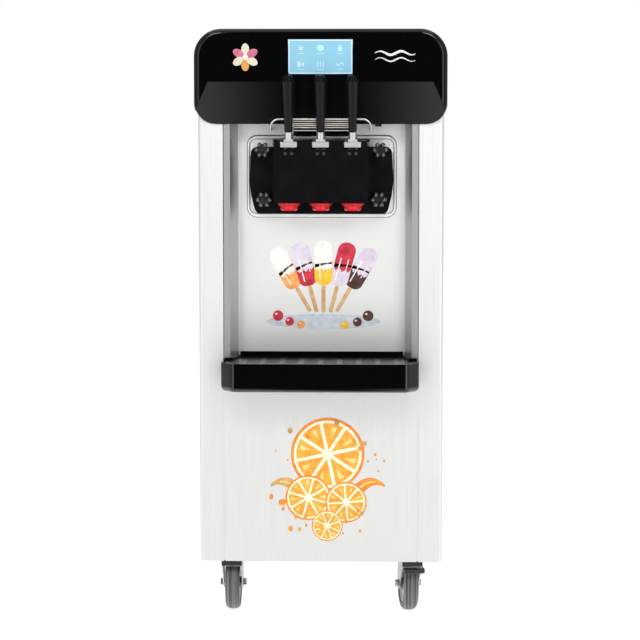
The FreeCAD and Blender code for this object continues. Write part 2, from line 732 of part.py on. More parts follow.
def hopper(label, sign):
    """Pressed mix tank hanging in the top panel by its rim."""
    wall = S.hopper_wall.value
    outside = hopper_block(label + "_outside", sign, 0, S.cabinet_top)
    add(outside, "z", S.cabinet_top, S.cabinet_top + 2, hopper_outline(sign, 8))
    inside = hopper_block(label + "_inside", sign, wall, S.cabinet_top + 3)
    add(inside, "z", S.hopper_bottom - 1, S.hopper_bottom + wall + 1,
        circle((S.cylinder_pitch / 2 + 10) * sign, 60, 9))
    keep(joined(label, "Part::Cut", outside, inside))


def air_tubes():
    """Feed tubes that stand in the hopper drains."""
    piece = keep(body("air_tubes"))
    x = S.cylinder_pitch / 2 + 10
    low = S.hopper_bottom
    add(piece, "z", low - 30, low + 118, *mirrored([circle(x, 60, 6)]))
    add(piece, "z", low + S.hopper_wall + 0.3, low + 8, *mirrored([circle(x, 60, 13)]))
    cut(piece, "z", low - 31, low + 119, *mirrored([circle(x, 60, 4)]))


def hopper_lid(label, sign):
    """Lid with a turned-down edge and a moulded grip."""
    piece = keep(body(label))
    low = S.cabinet_top + 2.5
    add(piece, "z", low, low + 12, hopper_outline(sign, 9.5))
    soften(piece, 16, along("z"))
    soften(piece, 4, lambda edge: abs(edge.CenterOfMass.z - low.value - 12) < 0.1)
    cut(piece, "z", low - 1, low + 9, hopper_outline(sign, 6))
    x = S.hopper_x * sign
    middle = (S.hopper_front + S.hopper_rear) / 2
    add(piece, "z", low + 12, low + 26, rect(x - 8, middle - 50, x + 8, middle + 50))
    soften(piece, 5, along("z", lambda p: p.z > low.value + 13))


# ---- freezer door ----------------------------------------------------------

def handle_places():
    return [("left", -S.handle_pitch), ("middle", dim(0)), ("right", S.handle_pitch)]


def freezer_door():
    """Moulded door: base plate, valve block with three vertical bores, and ports to the barrels."""
    piece = keep(body("freezer_door"))
    back = S.panel_depth - 0.5
    half = S.door_width / 2
    low, shoulder, top = S.door_bottom, S.door_shoulder, S.door_top
    block = S.door_block_width / 2
    bow = 4
    outline = [(half - 10, low), (half, low + 40), (half + bow, (low + shoulder) / 2),
               (half, shoulder), (block + 4, shoulder), (block + 4, top)]
    outline = outline + [(-a, b) for a, b in reversed(outline)]
    add(piece, "y", S.door_plate_front, back, outline)
    soften(piece, 14, along("y", lambda p: p.z < S.door_bottom.value + 1 or abs(p.x) > 150 and p.z > 1040))
    add(piece, "y", S.door_block_front, S.door_plate_front,
        centred(S.door_block_width, S.door_block_bottom, top))
    soften(piece, 10, along("y", lambda p: p.y < S.door_plate_front.value - 5))
    x, z = S.cylinder_pitch / 2, S.cylinder_height
    spigot = S.cylinder_bore - 0.6
    add(piece, "y", back, back + 10, *mirrored([circle(x, z, spigot)]))
    cut(piece, "y", back + 3, back + 7, *mirrored([circle(x, z, spigot + 1), circle(x, z, spigot - 2.5)]))
    for name, across in handle_places():
        notch = rect(across - 18.6, S.pivot_z - 12, across + 18.6, top + 1)
        cut(piece, "y", S.door_block_front - 1, -243, notch)
    bores = [circle(across, S.valve_y, S.valve_bore) for name, across in handle_places()]
    cut(piece, "z", S.door_block_bottom - 1, S.pivot_z, *bores)
    cut(piece, "x", -block - 1, block + 1, circle(S.pivot_y, S.pivot_z, S.pivot_radius))
    spouts = []
    for name, across in handle_places():
        spouts.append(circle(across, S.valve_y, 15))
        spouts.append(circle(across, S.valve_y, 9))
    add(piece, "z", S.cap_bottom + 5, S.door_block_bottom, *spouts)
    ports = mirrored([circle(S.handle_pitch, S.cylinder_height - 28, 8)])
    cut(piece, "y", S.valve_y, back + 11, *ports)
    cut(piece, "x", -S.handle_pitch, S.handle_pitch, circle(S.valve_y, S.cylinder_height - 10, 6))
    studs = mirrored([circle(S.knob_upper_x, S.knob_upper_z, 5.3),
                      circle(S.knob_lower_x, S.knob_lower_z, 5.3)])
    cut(piece, "y", S.door_plate_front - 1, back + 1, *studs)


def door_rim():
    """Polished frame round the door."""
    piece = keep(body("door_rim"))
    middle = (S.door_bottom + S.door_top) / 2
    high = S.rim_height / 2
    half = S.rim_width / 2
    add(piece, "y", S.panel_depth - 6, S.panel_depth - 0.5,
        rect(-half, middle - high, half, middle + high))
    soften(piece, 22, along("y"))
    inner = S.door_width / 2 + 4.6
    cut(piece, "y", S.panel_depth - 7, S.panel_depth,
        rect(-inner, S.door_bottom - 0.6, inner, S.door_top + 0.6))
    soften(piece, 14, along("y", lambda p: abs(p.x) < inner.value + 0.2))


def door_gaskets():
    """Sealing rings in the grooves of the door's spigots."""
    piece = keep(body("door_gaskets"))
    x, z = S.cylinder_pitch / 2, S.cylinder_height
    groove = S.cylinder_bore - 0.6 - 2.5
    rings = []
    for side in (x, -x):
        rings += [circle(side, z, groove), circle(side, z, groove + 2.8)]
    add(piece, "y", S.panel_depth + 2.7, S.panel_depth + 6.3, *rings)


def knob_places():
    return [("upper_left", -S.knob_upper_x, S.knob_upper_z),
            ("upper_right", S.knob_upper_x, S.knob_upper_z),
            ("lower_left", -S.knob_lower_x, S.knob_lower_z),
            ("lower_right", S.knob_lower_x, S.knob_lower_z)]


def door_studs():
    """Threaded studs, each with its nut behind the dispensing panel."""
    piece = keep(body("door_studs"))
    studs = [circle(x, z, 5) for name, x, z in knob_places()]
    nuts = [circle(x, z, 9) for name, x, z in knob_places()]
    back = S.panel_depth + S.sheet_metal
    add(piece, "y", S.door_plate_front - 18, back + 10, *studs)
    add(piece, "y", back + 0.2, back + 8, *nuts)


def door_knob(name, x, z):
    """Six-lobed hand knob."""
    piece = keep(body("door_knob_" + name))
    front = S.door_plate_front - 22
    core = S.knob_radius * 0.72
    add(piece, "y", front, S.door_plate_front - 6, circle(0, 0, core))
    lobe = add(piece, "y", front + 1, S.door_plate_front - 6, circle(S.knob_radius - 4.6, 0, 4.6))
    around(piece, lobe, 6)
    add(piece, "y", S.door_plate_front - 6, S.door_plate_front - 0.4, circle(0, 0, 9))
    cut(piece, "y", front + 3, S.door_plate_front, circle(0, 0, 5.06))
    place(piece, x, 0, z)


def handle_pivot_pin():
    """One pin through the three handles and the door's lugs."""
    piece = keep(body("handle_pivot_pin"))
    half = S.door_block_width / 2 + 3
    add(piece, "x", -half, half, circle(S.pivot_y, S.pivot_z, S.pivot_radius - 0.05))


def limit_screws():
    """Pairs of screws in the block's face below each handle."""
    piece = keep(body("limit_screws"))
    heads = []
    for name, across in handle_places():
        heads += [circle(across + side, 1034, 4) for side in (-7, 7)]
    add(piece, "y", S.door_block_front - 5, S.door_block_front, *heads)


def handle_lever(name, across):
    """Steel lever: pivot block, stem up to the grip and the arm that lifts the valve."""
    piece = keep(body("handle_lever_" + name))
    add(piece, "x", -18, 18, rect(-9, -6.5, 3.5, 8))
    soften(piece, 2, along("x"))
    add(piece, "z", 5, 14, rect(-10, -8, 10, 4))
    add(piece, "z", 12, S.grip_start - 0.2, circle(0, -1, 8.4))
    add(piece, "z", S.grip_start - 2, S.grip_start + 60, circle(0, 0, 6.5))
    # The arm ends in a round head under the valve's cross pin.
    angle = math.radians((S.arm_drop + S.handle_lean).value)
    reach = S.arm_reach.value
    tip = (reach * math.cos(angle), -reach * math.sin(angle))
    side = (2.5 * math.sin(angle), 2.5 * math.cos(angle))
    add(piece, "x", -4, 4, [(side[0], side[1]), (tip[0] + side[0], tip[1] + side[1]),
                            (tip[0] - side[0], tip[1] - side[1]), (-side[0], -side[1])])
    add(piece, "x", -4, 4, circle(tip[0], tip[1], 5))
    cut(piece, "x", -19, 19, circle(0, 0, S.pivot_radius + 0.05))
    place(piece, across, S.pivot_y, S.pivot_z, ((1, 0, 0), S.handle_lean))


def handle_grip(name, across):
    """Moulded grip, widest near its rounded top."""
    piece = keep(body("handle_grip_" + name))
    low, length = S.grip_start, S.grip_length
    high = low + length
    thin, wide = S.grip_low_radius, S.grip_top_radius
    profile = [(0, low + 60.3), (6.6, low + 60.3), (6.6, low), (thin - 1, low), (thin, low + 2),
               (wide - 1, high - 26), (wide, high - 12), (wide - 3, high - 3), (wide - 6, high), (0, high)]
    spin(piece, profile)
    place(piece, across, S.pivot_y, S.pivot_z, ((1, 0, 0), S.handle_lean))


def draw_valve(name, across):
    """Piston that closes the port, with seal grooves and a slot and pin for the lever's arm."""
    piece = keep(body("draw_valve_" + name))
    low, high = S.door_block_bottom + 4, S.pivot_z - 2
    radius = S.valve_radius
    tip = S.pivot_z - S.arm_reach * math.sin(math.radians(S.arm_drop.value))
    add(piece, "z", low, high, circle(0, 0, radius))
    for level in (8, 66):
        cut(piece, "z", low + level, low + level + 4, circle(0, 0, radius + 1), circle(0, 0, radius - 2))
    floor = tip - 5.5
    slot = [(-14, floor - 13.4), (-3, floor), (8, floor), (8, high + 1), (-14, high + 1)]
    cut(piece, "x", -4.7, 4.7, slot)
    add(piece, "x", -6, 6, circle(2, tip + 7.8, 2.4))
    place(piece, across, S.valve_y, 0)


def nozzle_cap(name, across):
    """Screw cap with a six-pointed star outlet."""
    piece = keep(body("nozzle_cap_" + name))
    low, high = S.cap_bottom, S.door_block_bottom - 0.4
    body_radius, rim = S.cap_body_radius, S.cap_rim_radius
    profile = [(0, low), (body_radius - 3, low), (body_radius, low + 3), (body_radius, high - 7),
               (rim, high - 5), (rim, high - 1), (rim - 1, high), (0, high)]
    spin(piece, profile)
    cut(piece, "z", low + 4, high + 1, circle(0, 0, 15.08))
    star = []
    for tip, dip in zip(ring_points(6, 8.5), ring_points(6, 4.5, 30)):
        star += [tip, dip]
    cut(piece, "z", low - 1, low + 5, star)
    place(piece, across, S.valve_y, 0)


def trigger_bar():
    """Bent wire bail with a row of cross bars that works the start switch when a handle is pulled."""
    piece = keep(body("trigger_bar"))
    z, front, half, wire = S.bail_z, S.bail_y, S.bail_half, S.bail_wire
    top = z + S.bail_rise
    bend_wire(piece, front, half, z - 2.5, top, 18, wire)
    add(piece, "y", front, S.panel_depth - 0.5, *mirrored([circle(half, z, wire)]))
    straps = [rect(front - 1.5, z - 4, front + 1.5, top + 3)]
    add(piece, "x", 61, 64, *straps)
    add(piece, "x", -64, -61, *straps)
    for level in (-2, 4.5, 9, 13, 18):
        add(piece, "x", -62, 62, circle(front, z + level, 1.3))


def micro_switch():
    """Snap-action switch with its mounting foot."""
    piece = keep(body("micro_switch"))
    add(piece, "x", 119, 133, rect(-222, 1092, -196, 1108))
    add(piece, "x", 121, 131, rect(-196, 1096, S.panel_depth - 0.2, 1104))


# ---- tray ------------------------------------------------------------------

def tray_plan(inset):
    """Half plan of the tray: rounded front part and the narrower part in the recess."""
    back = S.panel_depth - 2 - inset
    wide = S.tray_width / 2 - inset
    inner = S.recess_back / 2 - 3 - inset
    mouth = S.recess_mouth / 2 - 3.5 - inset
    step = S.tray_step - inset
    right = [(inner, back), (mouth, step), (wide, step), (wide, S.tray_front + 26),
             (wide - 26 + 2, S.tray_front + inset)]
    return right + [(-a, b) for a, b in reversed(right)]


def drip_tray():
    """Deep tray hung over the shelf, rounded in front, with a ledge for the grid."""
    piece = keep(body("drip_tray"))
    low, top, wall = S.tray_bottom, S.tray_top, S.tray_wall.value
    add(piece, "z", low, top, tray_plan(0))
    soften(piece, 14, along("z", lambda p: p.y < -340))
    soften(piece, 12, lambda edge: abs(edge.CenterOfMass.z - low.value) < 0.1 and edge.CenterOfMass.y < -270)
    cut(piece, "z", low + wall, top + 1, tray_plan(wall))
    back = S.panel_depth - 2
    half = S.recess_back / 2 - 3
    add(piece, "z", top, top + 6, rect(-half, back - wall, half, back))


def tray_grid():
    """Slotted grid lying in the tray."""
    piece = keep(body("tray_grid"))
    top = S.tray_top - 5
    margin = S.tray_wall.value + 1
    add(piece, "z", top - 3, top, tray_plan(margin))
    legs = mirrored([rect(120, -340, 126, -334), rect(120, -215, 126, -209)])
    add(piece, "z", S.tray_bottom + S.tray_wall + 0.2, top - 3, *legs)
    slots = [rect(x, -350, x + 30, -345) for x in range(-162, 160, 42)]
    slot = cut(piece, "z", top - 4, top + 1, *slots)
    repeat(piece, slot, "V_Axis", 130, 11)


# ---- casters ---------------------------------------------------------------

def corners():
    """Name, swivel place and rest angle of each caster."""
    return [("front_left", -S.caster_x, S.caster_front, 0), ("front_right", S.caster_x, S.caster_front, 8),
            ("rear_left", -S.caster_x, S.caster_rear, 0), ("rear_right", S.caster_x, S.caster_rear, 0)]


def caster_plates():
    """Mounting plates with the swivel race and the kingpin."""
    piece = keep(body("caster_plates"))
    top = S.frame_base
    places = [(x, y) for name, x, y, angle in corners()]
    add(piece, "z", top - 5, top - 0.2, *[rect(x - 44, y - 35, x + 44, y + 35) for x, y in places])
    add(piece, "z", top - 12, top - 5, *[circle(x, y, 27) for x, y in places])
    add(piece, "z", top - 25, top - 12, *[circle(x, y, 5) for x, y in places])
    bolts = [circle(x + dx, y + dy, 4.5) for x, y in places for dx in (-34, 34) for dy in (-26, 26)]
    cut(piece, "z", top - 6, top, *bolts)


def caster_fork(name, x, y, angle):
    """Pressed fork with a turned-down front lip, its axle bolt and nuts."""
    piece = keep(body("caster_fork_" + name))
    top = S.frame_base - 12.5
    crown = top - 4.5
    trail, axle = S.caster_trail, S.wheel_radius
    half = S.fork_width / 2
    add(piece, "z", crown, top, circle(0, 0, 30))
    add(piece, "z", crown, top - 1, rect(-half, -29, half, 26))
    leg = [(-29, crown + 1), (26, crown + 1), (trail + 13, axle + 4), (trail + 9, axle - 11),
           (trail - 9, axle - 11), (-29, crown - 18)]
    add(piece, "x", half - 2.5, half, leg)
    add(piece, "x", -half, -half + 2.5, leg)
    add(piece, "z", crown - 19, crown + 1, rect(-half, -31, half, -28.6))
    add(piece, "x", -half, half, circle(trail, axle, 5))
    nuts = [(trail + a, axle + b) for a, b in ring_points(6, 8.5, 30)]
    add(piece, "x", half, half + 7, nuts)
    add(piece, "x", -half - 7, -half, nuts)
    cut(piece, "z", crown - 1, top + 1, circle(0, 0, 5.06))
    place(piece, x, y, 0, ((0, 0, 1), angle))


def caster_wheel(name, x, y, angle):
    """Rubber tyre on a moulded hub with a bearing boss."""
    piece = keep(body("caster_wheel_" + name))
    radius, half = S.wheel_radius, S.wheel_width / 2
    edge = radius - 6
    # Half section, revolved round the axle.
    profile = [(5.06, -half - 2), (11, -half - 2), (13, -half + 4), (radius - 18, -half + 4),
               (radius - 15, -half), (edge, -half), (radius - 1.5, -half + 5), (radius, -4),
               (radius, 4), (radius - 1.5, half - 5), (edge, half), (radius - 15, half),
               (radius - 18, half - 4), (13, half - 4), (11, half + 2), (5.06, half + 2)]
    spin(piece, profile)
    turned = FreeCAD.Rotation(V(0, 0, 1), angle).multiply(FreeCAD.Rotation(V(0, 1, 0), 90))
    shift = FreeCAD.Rotation(V(0, 0, 1), angle).multVec(V(0, S.caster_trail.value, 0))
    place(piece, x + shift.x, y + shift.y, radius)
    piece.Placement = FreeCAD.Placement(piece.Placement.Base, turned)


def brake_pedal(x, y, angle):
    """Foot pedal hinged on the fork, with a ribbed tread bar."""
    piece = keep(body("brake_pedal"))
    half = S.fork_width / 2
    add(piece, "x", -half + 2, half - 1, rect(-47, 98, -33, 108))
    soften(piece, 3, along("x"))
    add(piece, "x", half + 0.4, half + 3.4, rect(-44, 99, 2, 108))
    add(piece, "x", half - 2, half + 3.4, rect(-44, 99, -34, 108))
    place(piece, x, y, 0, ((0, 0, 1), angle))


def cable_gland():
    """Gland in the rear panel for the mains lead."""
    piece = keep(body("cable_gland"))
    rear = S.cabinet_rear
    add(piece, "y", rear - 20, rear + 10, circle(200, 210, 9.6))
    add(piece, "y", rear - 1, rear + 6, [(200 + a, 210 + b) for a, b in ring_points(6, 15)])
    add(piece, "y", rear - 12, rear - 3.2, circle(200, 210, 14))
    cut(piece, "y", rear - 21, rear + 11, circle(200, 210, 5))


# ---- assembly --------------------------------------------------------------

cabinet_frame()
side_panel("left_side_panel", -1)
side_panel("right_side_panel", 1)
rear_panel()
top_panel()
dispensing_panel()
lower_front_panel()
head_cowl()
touch_screen()
freezing_cylinders()
cylinder_insulation()
gear_motors()
compressor()
condenser()
fan_shroud()
condenser_fan()
air_tubes()
freezer_door()
door_rim()
door_gaskets()
door_studs()
handle_pivot_pin()
limit_screws()
trigger_bar()
micro_switch()
drip_tray()
tray_grid()
caster_plates()
cable_gland()
for side, way in (("left", -1), ("right", 1)):
    beater("beater_" + side, way)
    hopper("hopper_" + side, way)
    hopper_lid("hopper_lid_" + side, way)
for spot in handle_places():
    handle_lever(*spot)
    handle_grip(*spot)
    draw_valve(*spot)
    nozzle_cap(*spot)
for spot in knob_places():
    door_knob(*spot)
for corner in corners():
    caster_fork(*corner)
    caster_wheel(*corner)
brake_pedal(*corners()[1][1:])

doc.recompute()
for item in doc.Objects:
    if "Invalid" in item.State or "Error" in item.State:
        raise RuntimeError("%s failed to build" % item.Label)
os.makedirs("parts", exist_ok=True)
for piece in PIECES:
    if piece.Shape.isNull() or not piece.Shape.isValid():
        raise RuntimeError("%s has no valid shape" % piece.Label)
for piece in PIECES:
    piece.Shape.exportStep("parts/%s.step" % piece.Label)
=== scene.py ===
import math
import random
import bmesh
import bpy
from mathutils import Matrix, Vector


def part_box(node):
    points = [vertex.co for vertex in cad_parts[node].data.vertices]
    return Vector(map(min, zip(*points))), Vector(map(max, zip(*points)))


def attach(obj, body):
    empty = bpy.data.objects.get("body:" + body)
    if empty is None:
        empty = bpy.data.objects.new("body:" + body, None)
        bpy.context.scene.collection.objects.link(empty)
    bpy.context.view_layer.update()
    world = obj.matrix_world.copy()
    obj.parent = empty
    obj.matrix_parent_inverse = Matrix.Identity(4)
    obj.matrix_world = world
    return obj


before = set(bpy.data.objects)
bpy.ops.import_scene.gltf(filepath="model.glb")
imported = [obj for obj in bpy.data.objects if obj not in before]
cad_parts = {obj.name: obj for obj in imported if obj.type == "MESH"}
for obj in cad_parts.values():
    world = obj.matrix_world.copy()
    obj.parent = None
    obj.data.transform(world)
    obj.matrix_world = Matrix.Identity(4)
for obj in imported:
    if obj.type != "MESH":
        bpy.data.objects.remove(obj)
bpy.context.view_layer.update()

bl_info = {
    "name": "Soft serve machine",
    "version": (1, 0, 0),
    "blender": (4, 5, 0),
    "location": "View3D > Sidebar > Soft serve",
    "description": "Finishes, prints and stage of a floor-standing soft serve machine",
    "category": "Object",
}

# Places and sizes taken from the frame, in metres.
MM = 0.001
SHEET_STEEL = 1.5 * MM
PANEL_LOW, PANEL_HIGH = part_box("lower_front_panel")
SCREEN_LOW, SCREEN_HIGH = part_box("touch_screen")
COWL_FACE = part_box("head_cowl")[0].y
BACK_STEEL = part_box("dispensing_panel")[1].y - SHEET_STEEL
REAR_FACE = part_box("rear_panel")[0].y + SHEET_STEEL
# The back sheet of the serving bay is flat as far as this line on each side; outside it the sheet's colour
# is a painted shade.
FOLD_X = 186.25 * MM
CORNERS = ("front_left", "front_right", "rear_left", "rear_right")
KNOBS = ("upper_left", "upper_right", "lower_left", "lower_right")
SIDES = ("left", "middle", "right")
# Front casters swivel about this line, and the right one stands turned by this angle.
SWIVEL_Y = -220 * MM
TURNED_CASTER = math.radians(8)
# Half section of a pan-head screw: (radius, height) in millimetres.
SCREW_HEAD = ((0.01, 2.2), (2.6, 2.1), (4.0, 1.4), (4.4, 0.4), (4.4, 0.0))


# ---- colours, nodes and materials -----------------------------------------

def linear(hex_colour):
    """An sRGB hex colour as linear RGBA."""
    values = [int(hex_colour[i:i + 2], 16) / 255 for i in (1, 3, 5)]
    return tuple(v / 12.92 if v <= 0.04045 else ((v + 0.055) / 1.055) ** 2.4 for v in values) + (1.0,)


def add_node(tree, kind, inputs=None, **settings):
    """A shader node with its settings, its inputs given as values or as sockets to link from."""
    made = tree.nodes.new(kind)
    for name, value in settings.items():
        setattr(made, name, value)
    for name, value in (inputs or {}).items():
        socket = made.inputs[name]
        if isinstance(value, bpy.types.NodeSocket):
            tree.links.new(value, socket)
        else:
            socket.default_value = value
    return made


def finish_of(name, colour, roughness, metallic=0.0, **sockets):
    """A material with one Principled shader; returns the material, its tree and the shader."""
    material = bpy.data.materials.new(name)
    material.use_nodes = True
    tree = material.node_tree
    tree.nodes.clear()
    shader = add_node(tree, "ShaderNodeBsdfPrincipled")
    output = add_node(tree, "ShaderNodeOutputMaterial", {"Surface": shader.outputs[0]})
    output.target = "ALL"
    shader.inputs["Base Color"].default_value = linear(colour)
    shader.inputs["Roughness"].default_value = roughness
    shader.inputs["Metallic"].default_value = metallic
    for socket, value in sockets.items():
        shader.inputs[socket.replace("_", " ")].default_value = value
    return material, tree, shader


def grain(tree, spacing, detail=3.0, distortion=0.0):
    """Noise in the piece's own coordinates; spacing is the grain size along x, y and z in millimetres."""
    place = add_node(tree, "ShaderNodeTexCoord")
    scale = [1000.0 / s for s in spacing]
    mapping = add_node(tree, "ShaderNodeMapping", {"Vector": place.outputs["Object"], "Scale": scale})
    return add_node(tree, "ShaderNodeTexNoise", {"Vector": mapping.outputs[0], "Scale": 1.0,
                                                 "Detail": detail, "Distortion": distortion})


def spread(tree, source, low, high, to_low, to_high, **settings):
    """Map a range of a value onto another range."""
    return add_node(tree, "ShaderNodeMapRange", {"Value": source, "From Min": low, "From Max": high,
                                                 "To Min": to_low, "To Max": to_high}, **settings).outputs[0]


def bumped(tree, shader, height, distance_mm, strength=1.0):
    """Relief of a given depth from a height."""
    bump = add_node(tree, "ShaderNodeBump", {"Height": height, "Distance": distance_mm * MM,
                                             "Strength": strength})
    tree.links.new(bump.outputs[0], shader.inputs["Normal"])


def blend(tree, factor, dark, light):
    """Colour between two linear colours; a mix node's colour sockets are numbers 6, 7 and output 2."""
    mix = add_node(tree, "ShaderNodeMix", {"Factor": factor, 6: dark, 7: light}, data_type="RGBA")
    return mix.outputs[2]


def tinted(tree, shader, factor, dark, light):
    """Colour variation between two hex colours."""
    tree.links.new(blend(tree, factor, linear(dark), linear(light)), shader.inputs["Base Color"])


def brushed_stainless(name, dark, light, roughness):
    """Number 4 stainless sheet: a fine upright brush that blurs reflections along the panel."""
    material, tree, shader = finish_of(name, light, roughness, 1.0)
    lines = grain(tree, (0.9, 0.9, 160.0), 4.0)
    tree.links.new(spread(tree, lines.outputs[0], 0.3, 0.7, roughness - 0.05, roughness + 0.07),
                   shader.inputs["Roughness"])
    tinted(tree, shader, spread(tree, lines.outputs[0], 0.25, 0.75, 0, 1), dark, light)
    bumped(tree, shader, lines.outputs[0], 0.012)
    return material


def stainless_painted_light_and_shade(name, light, shade, roughness):
    """Brushed sheet as a lit and a shaded copy of one steel: its flat back is painted lighter against the
    shade of the cowl and door, a painted light, and its two splayed reveals, outside the flat back, are
    painted darker, a painted shade.
    """
    material, tree, shader = finish_of(name, light, roughness, 1.0)
    lines = grain(tree, (0.9, 0.9, 160.0), 4.0)
    bumped(tree, shader, lines.outputs[0], 0.012)
    place = add_node(tree, "ShaderNodeTexCoord")
    parts = add_node(tree, "ShaderNodeSeparateXYZ", {"Vector": place.outputs["Object"]})
    aside = add_node(tree, "ShaderNodeMath", {0: parts.outputs["X"]}, operation="ABSOLUTE")
    # Painted shade: outside the fold line the sheet takes the darker colour.
    reveal_painted_shade = spread(tree, aside.outputs[0], FOLD_X - 0.75 * MM, FOLD_X + 0.75 * MM, 0, 1)
    tinted(tree, shader, reveal_painted_shade, light, shade)
    return material


def polished_stainless(name="polished_stainless", colour="#D9DADC", roughness=0.12):
    """Buffed stainless: a near mirror with faint polishing marks."""
    material, tree, shader = finish_of(name, colour, roughness, 1.0)
    marks = grain(tree, (6.0, 6.0, 6.0), 5.0)
    tree.links.new(spread(tree, marks.outputs[0], 0.3, 0.7, roughness - 0.04, roughness + 0.06),
                   shader.inputs["Roughness"])
    return material


def moulded_black(name, colour, roughness, coat=0.0, level=0.5):
    """Injection-moulded ABS: deep black, with a faint ripple where the mould was polished."""
    material, tree, shader = finish_of(name, colour, roughness, Coat_Weight=coat, Coat_Roughness=0.03,
                                       Specular_IOR_Level=level)
    ripple = grain(tree, (28.0, 28.0, 28.0), 1.0)
    tree.links.new(spread(tree, ripple.outputs[0], 0.3, 0.7, roughness * 0.92, roughness * 1.1),
                   shader.inputs["Roughness"])
    bumped(tree, shader, ripple.outputs[0], 0.006)
    return material


def textured_plastic(name, colour, roughness, grit=0.6):
    """Plastic moulded in a spark-eroded tool: a fine even grit."""
    material, tree, shader = finish_of(name, colour, roughness)
    grit_noise = grain(tree, (grit, grit, grit), 2.0)
    bumped(tree, shader, grit_noise.outputs[0], 0.03, 0.5)
    tree.links.new(spread(tree, grit_noise.outputs[0], 0.3, 0.7, roughness - 0.05, roughness + 0.05),
                   shader.inputs["Roughness"])
    return material


def rubber_painted_groove_shade(name, dark, light, roughness=0.55):
    """Grey tread rubber with fine grooves round the wheel; its colour follows the grooves, darker in them, a
    painted shade, and paler on the ribs, a painted light.
    """
    material, tree, shader = finish_of(name, light, roughness)
    grooves_and_painted_shade = grain(tree, (3.4, 900.0, 900.0), 1.0)
    # Painted shade and light: the tint follows the groove relief.
    tinted(tree, shader, spread(tree, grooves_and_painted_shade.outputs[0], 0.38, 0.62, 0, 1), dark, light)
    bumped(tree, shader, grooves_and_painted_shade.outputs[0], 0.4)
    return material


def zinc_plate():
    """Bright zinc plating over pressed steel, slightly cloudy."""
    material, tree, shader = finish_of("zinc_plate", "#A9ACB0", 0.3, 1.0)
    cloud = grain(tree, (9.0, 9.0, 9.0), 4.0)
    tinted(tree, shader, spread(tree, cloud.outputs[0], 0.3, 0.7, 0, 1), "#8E9196", "#BDC0C3")
    tree.links.new(spread(tree, cloud.outputs[0], 0.3, 0.7, 0.24, 0.4), shader.inputs["Roughness"])
    return material


def sprayed_enamel(name, colour, roughness=0.4):
    """Sprayed enamel with a slight orange peel."""
    material, tree, shader = finish_of(name, colour, roughness)
    peel = grain(tree, (1.6, 1.6, 1.6), 1.0)
    bumped(tree, shader, peel.outputs[0], 0.03, 0.6)
    return material


def printed_film(name, dark, light, roughness=0.42):
    """Printed vinyl film: a satin skin whose ink lies slightly cloudy."""
    material, tree, shader = finish_of(name, light, roughness)
    ink = grain(tree, (14.0, 14.0, 14.0), 3.0)
    tinted(tree, shader, spread(tree, ink.outputs[0], 0.35, 0.65, 0, 1), dark, light)
    tree.links.new(spread(tree, ink.outputs[0], 0.3, 0.7, roughness - 0.04, roughness + 0.05),
                   shader.inputs["Roughness"])
    return material


def lit_film(name, colour, glow):
    """Liquid-crystal picture behind glass: most of its light is its own, with a faint dot grain."""
    material, tree, shader = finish_of(name, colour, 0.12, Emission_Strength=glow)
    dots = grain(tree, (0.6, 0.6, 0.6), 1.0)
    level = spread(tree, dots.outputs[0], 0.3, 0.7, 0.0, 1.0)
    dim = tuple(v * 0.97 for v in linear(colour)[:3]) + (1.0,)
    picture = blend(tree, level, dim, linear(colour))
    tree.links.new(picture, shader.inputs["Base Color"])
    tree.links.new(picture, shader.inputs["Emission Color"])
    return material


def rounded(piece, width_mm, segments=2):
    """Round the sharp edges of a piece so that they catch the light."""
    weld = piece.modifiers.new("weld", "WELD")
    weld.merge_threshold = 0.01 * MM
    bevel = piece.modifiers.new("edges", "BEVEL")
    bevel.width = width_mm * MM
    bevel.segments = segments
    bevel.limit_method = "ANGLE"
    bevel.angle_limit = math.radians(40)
    bevel.harden_normals = True


def cover(material, *nodes):
    """Give CAD nodes a finish."""
    for name in nodes:
        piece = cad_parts[name]
        piece.data.materials.clear()
        piece.data.materials.append(material)


# ---- shapes ----------------------------------------------------------------

def disc(x, z, radius, points=40):
    """Outline of a circle in the panel's plane, in millimetres."""
    return oval(x, z, radius, radius, points)


def oval(x, z, across, up, points=40):
    """Outline of an ellipse from its two half sizes."""
    turns = [2 * math.pi * i / points for i in range(points)]
    return [(x + across * math.cos(t), z + up * math.sin(t)) for t in turns]


def bar(x, z, width, height, corner, angle=0.0):
    """Outline of a rounded rectangle round (x, z), turned by an angle in degrees."""
    outline = []
    for quarter, (sx, sz) in enumerate(((1, 1), (-1, 1), (-1, -1), (1, -1))):
        cx, cz = sx * (width / 2 - corner), sz * (height / 2 - corner)
        for step in range(7):
            turn = math.pi / 2 * (quarter + step / 6)
            outline.append((cx + corner * math.cos(turn), cz + corner * math.sin(turn)))
    return turned(outline, x, z, angle)


def turned(outline, x, z, angle):
    """Turn an outline about its own origin and move it to (x, z)."""
    c, s = math.cos(math.radians(angle)), math.sin(math.radians(angle))
    return [(x + c * a - s * b, z + s * a + c * b) for a, b in outline]


def wedge(x, z, inner, outer, start, end, points=8):
    """Outline of a citrus segment: a point near the centre and a rounded outer side."""
    middle = math.radians((start + end) / 2)
    arc = [math.radians(start + (end - start) * i / points) for i in range(points + 1)]
    rim = [(x + outer * math.cos(t), z + outer * math.sin(t)) for t in arc]
    return [(x + inner * math.cos(middle), z + inner * math.sin(middle))] + rim


def ribbon(points, widths):
    """Outline of a band of changing width that follows a line of points."""
    left, right = [], []
    for i, (x, z) in enumerate(points):
        ahead = points[min(i + 1, len(points) - 1)]
        behind = points[max(i - 1, 0)]
        run = Vector((ahead[0] - behind[0], ahead[1] - behind[1])).normalized()
        left.append((x - run.y * widths[i] / 2, z + run.x * widths[i] / 2))
        right.append((x + run.y * widths[i] / 2, z - run.x * widths[i] / 2))
    return left + right[::-1]


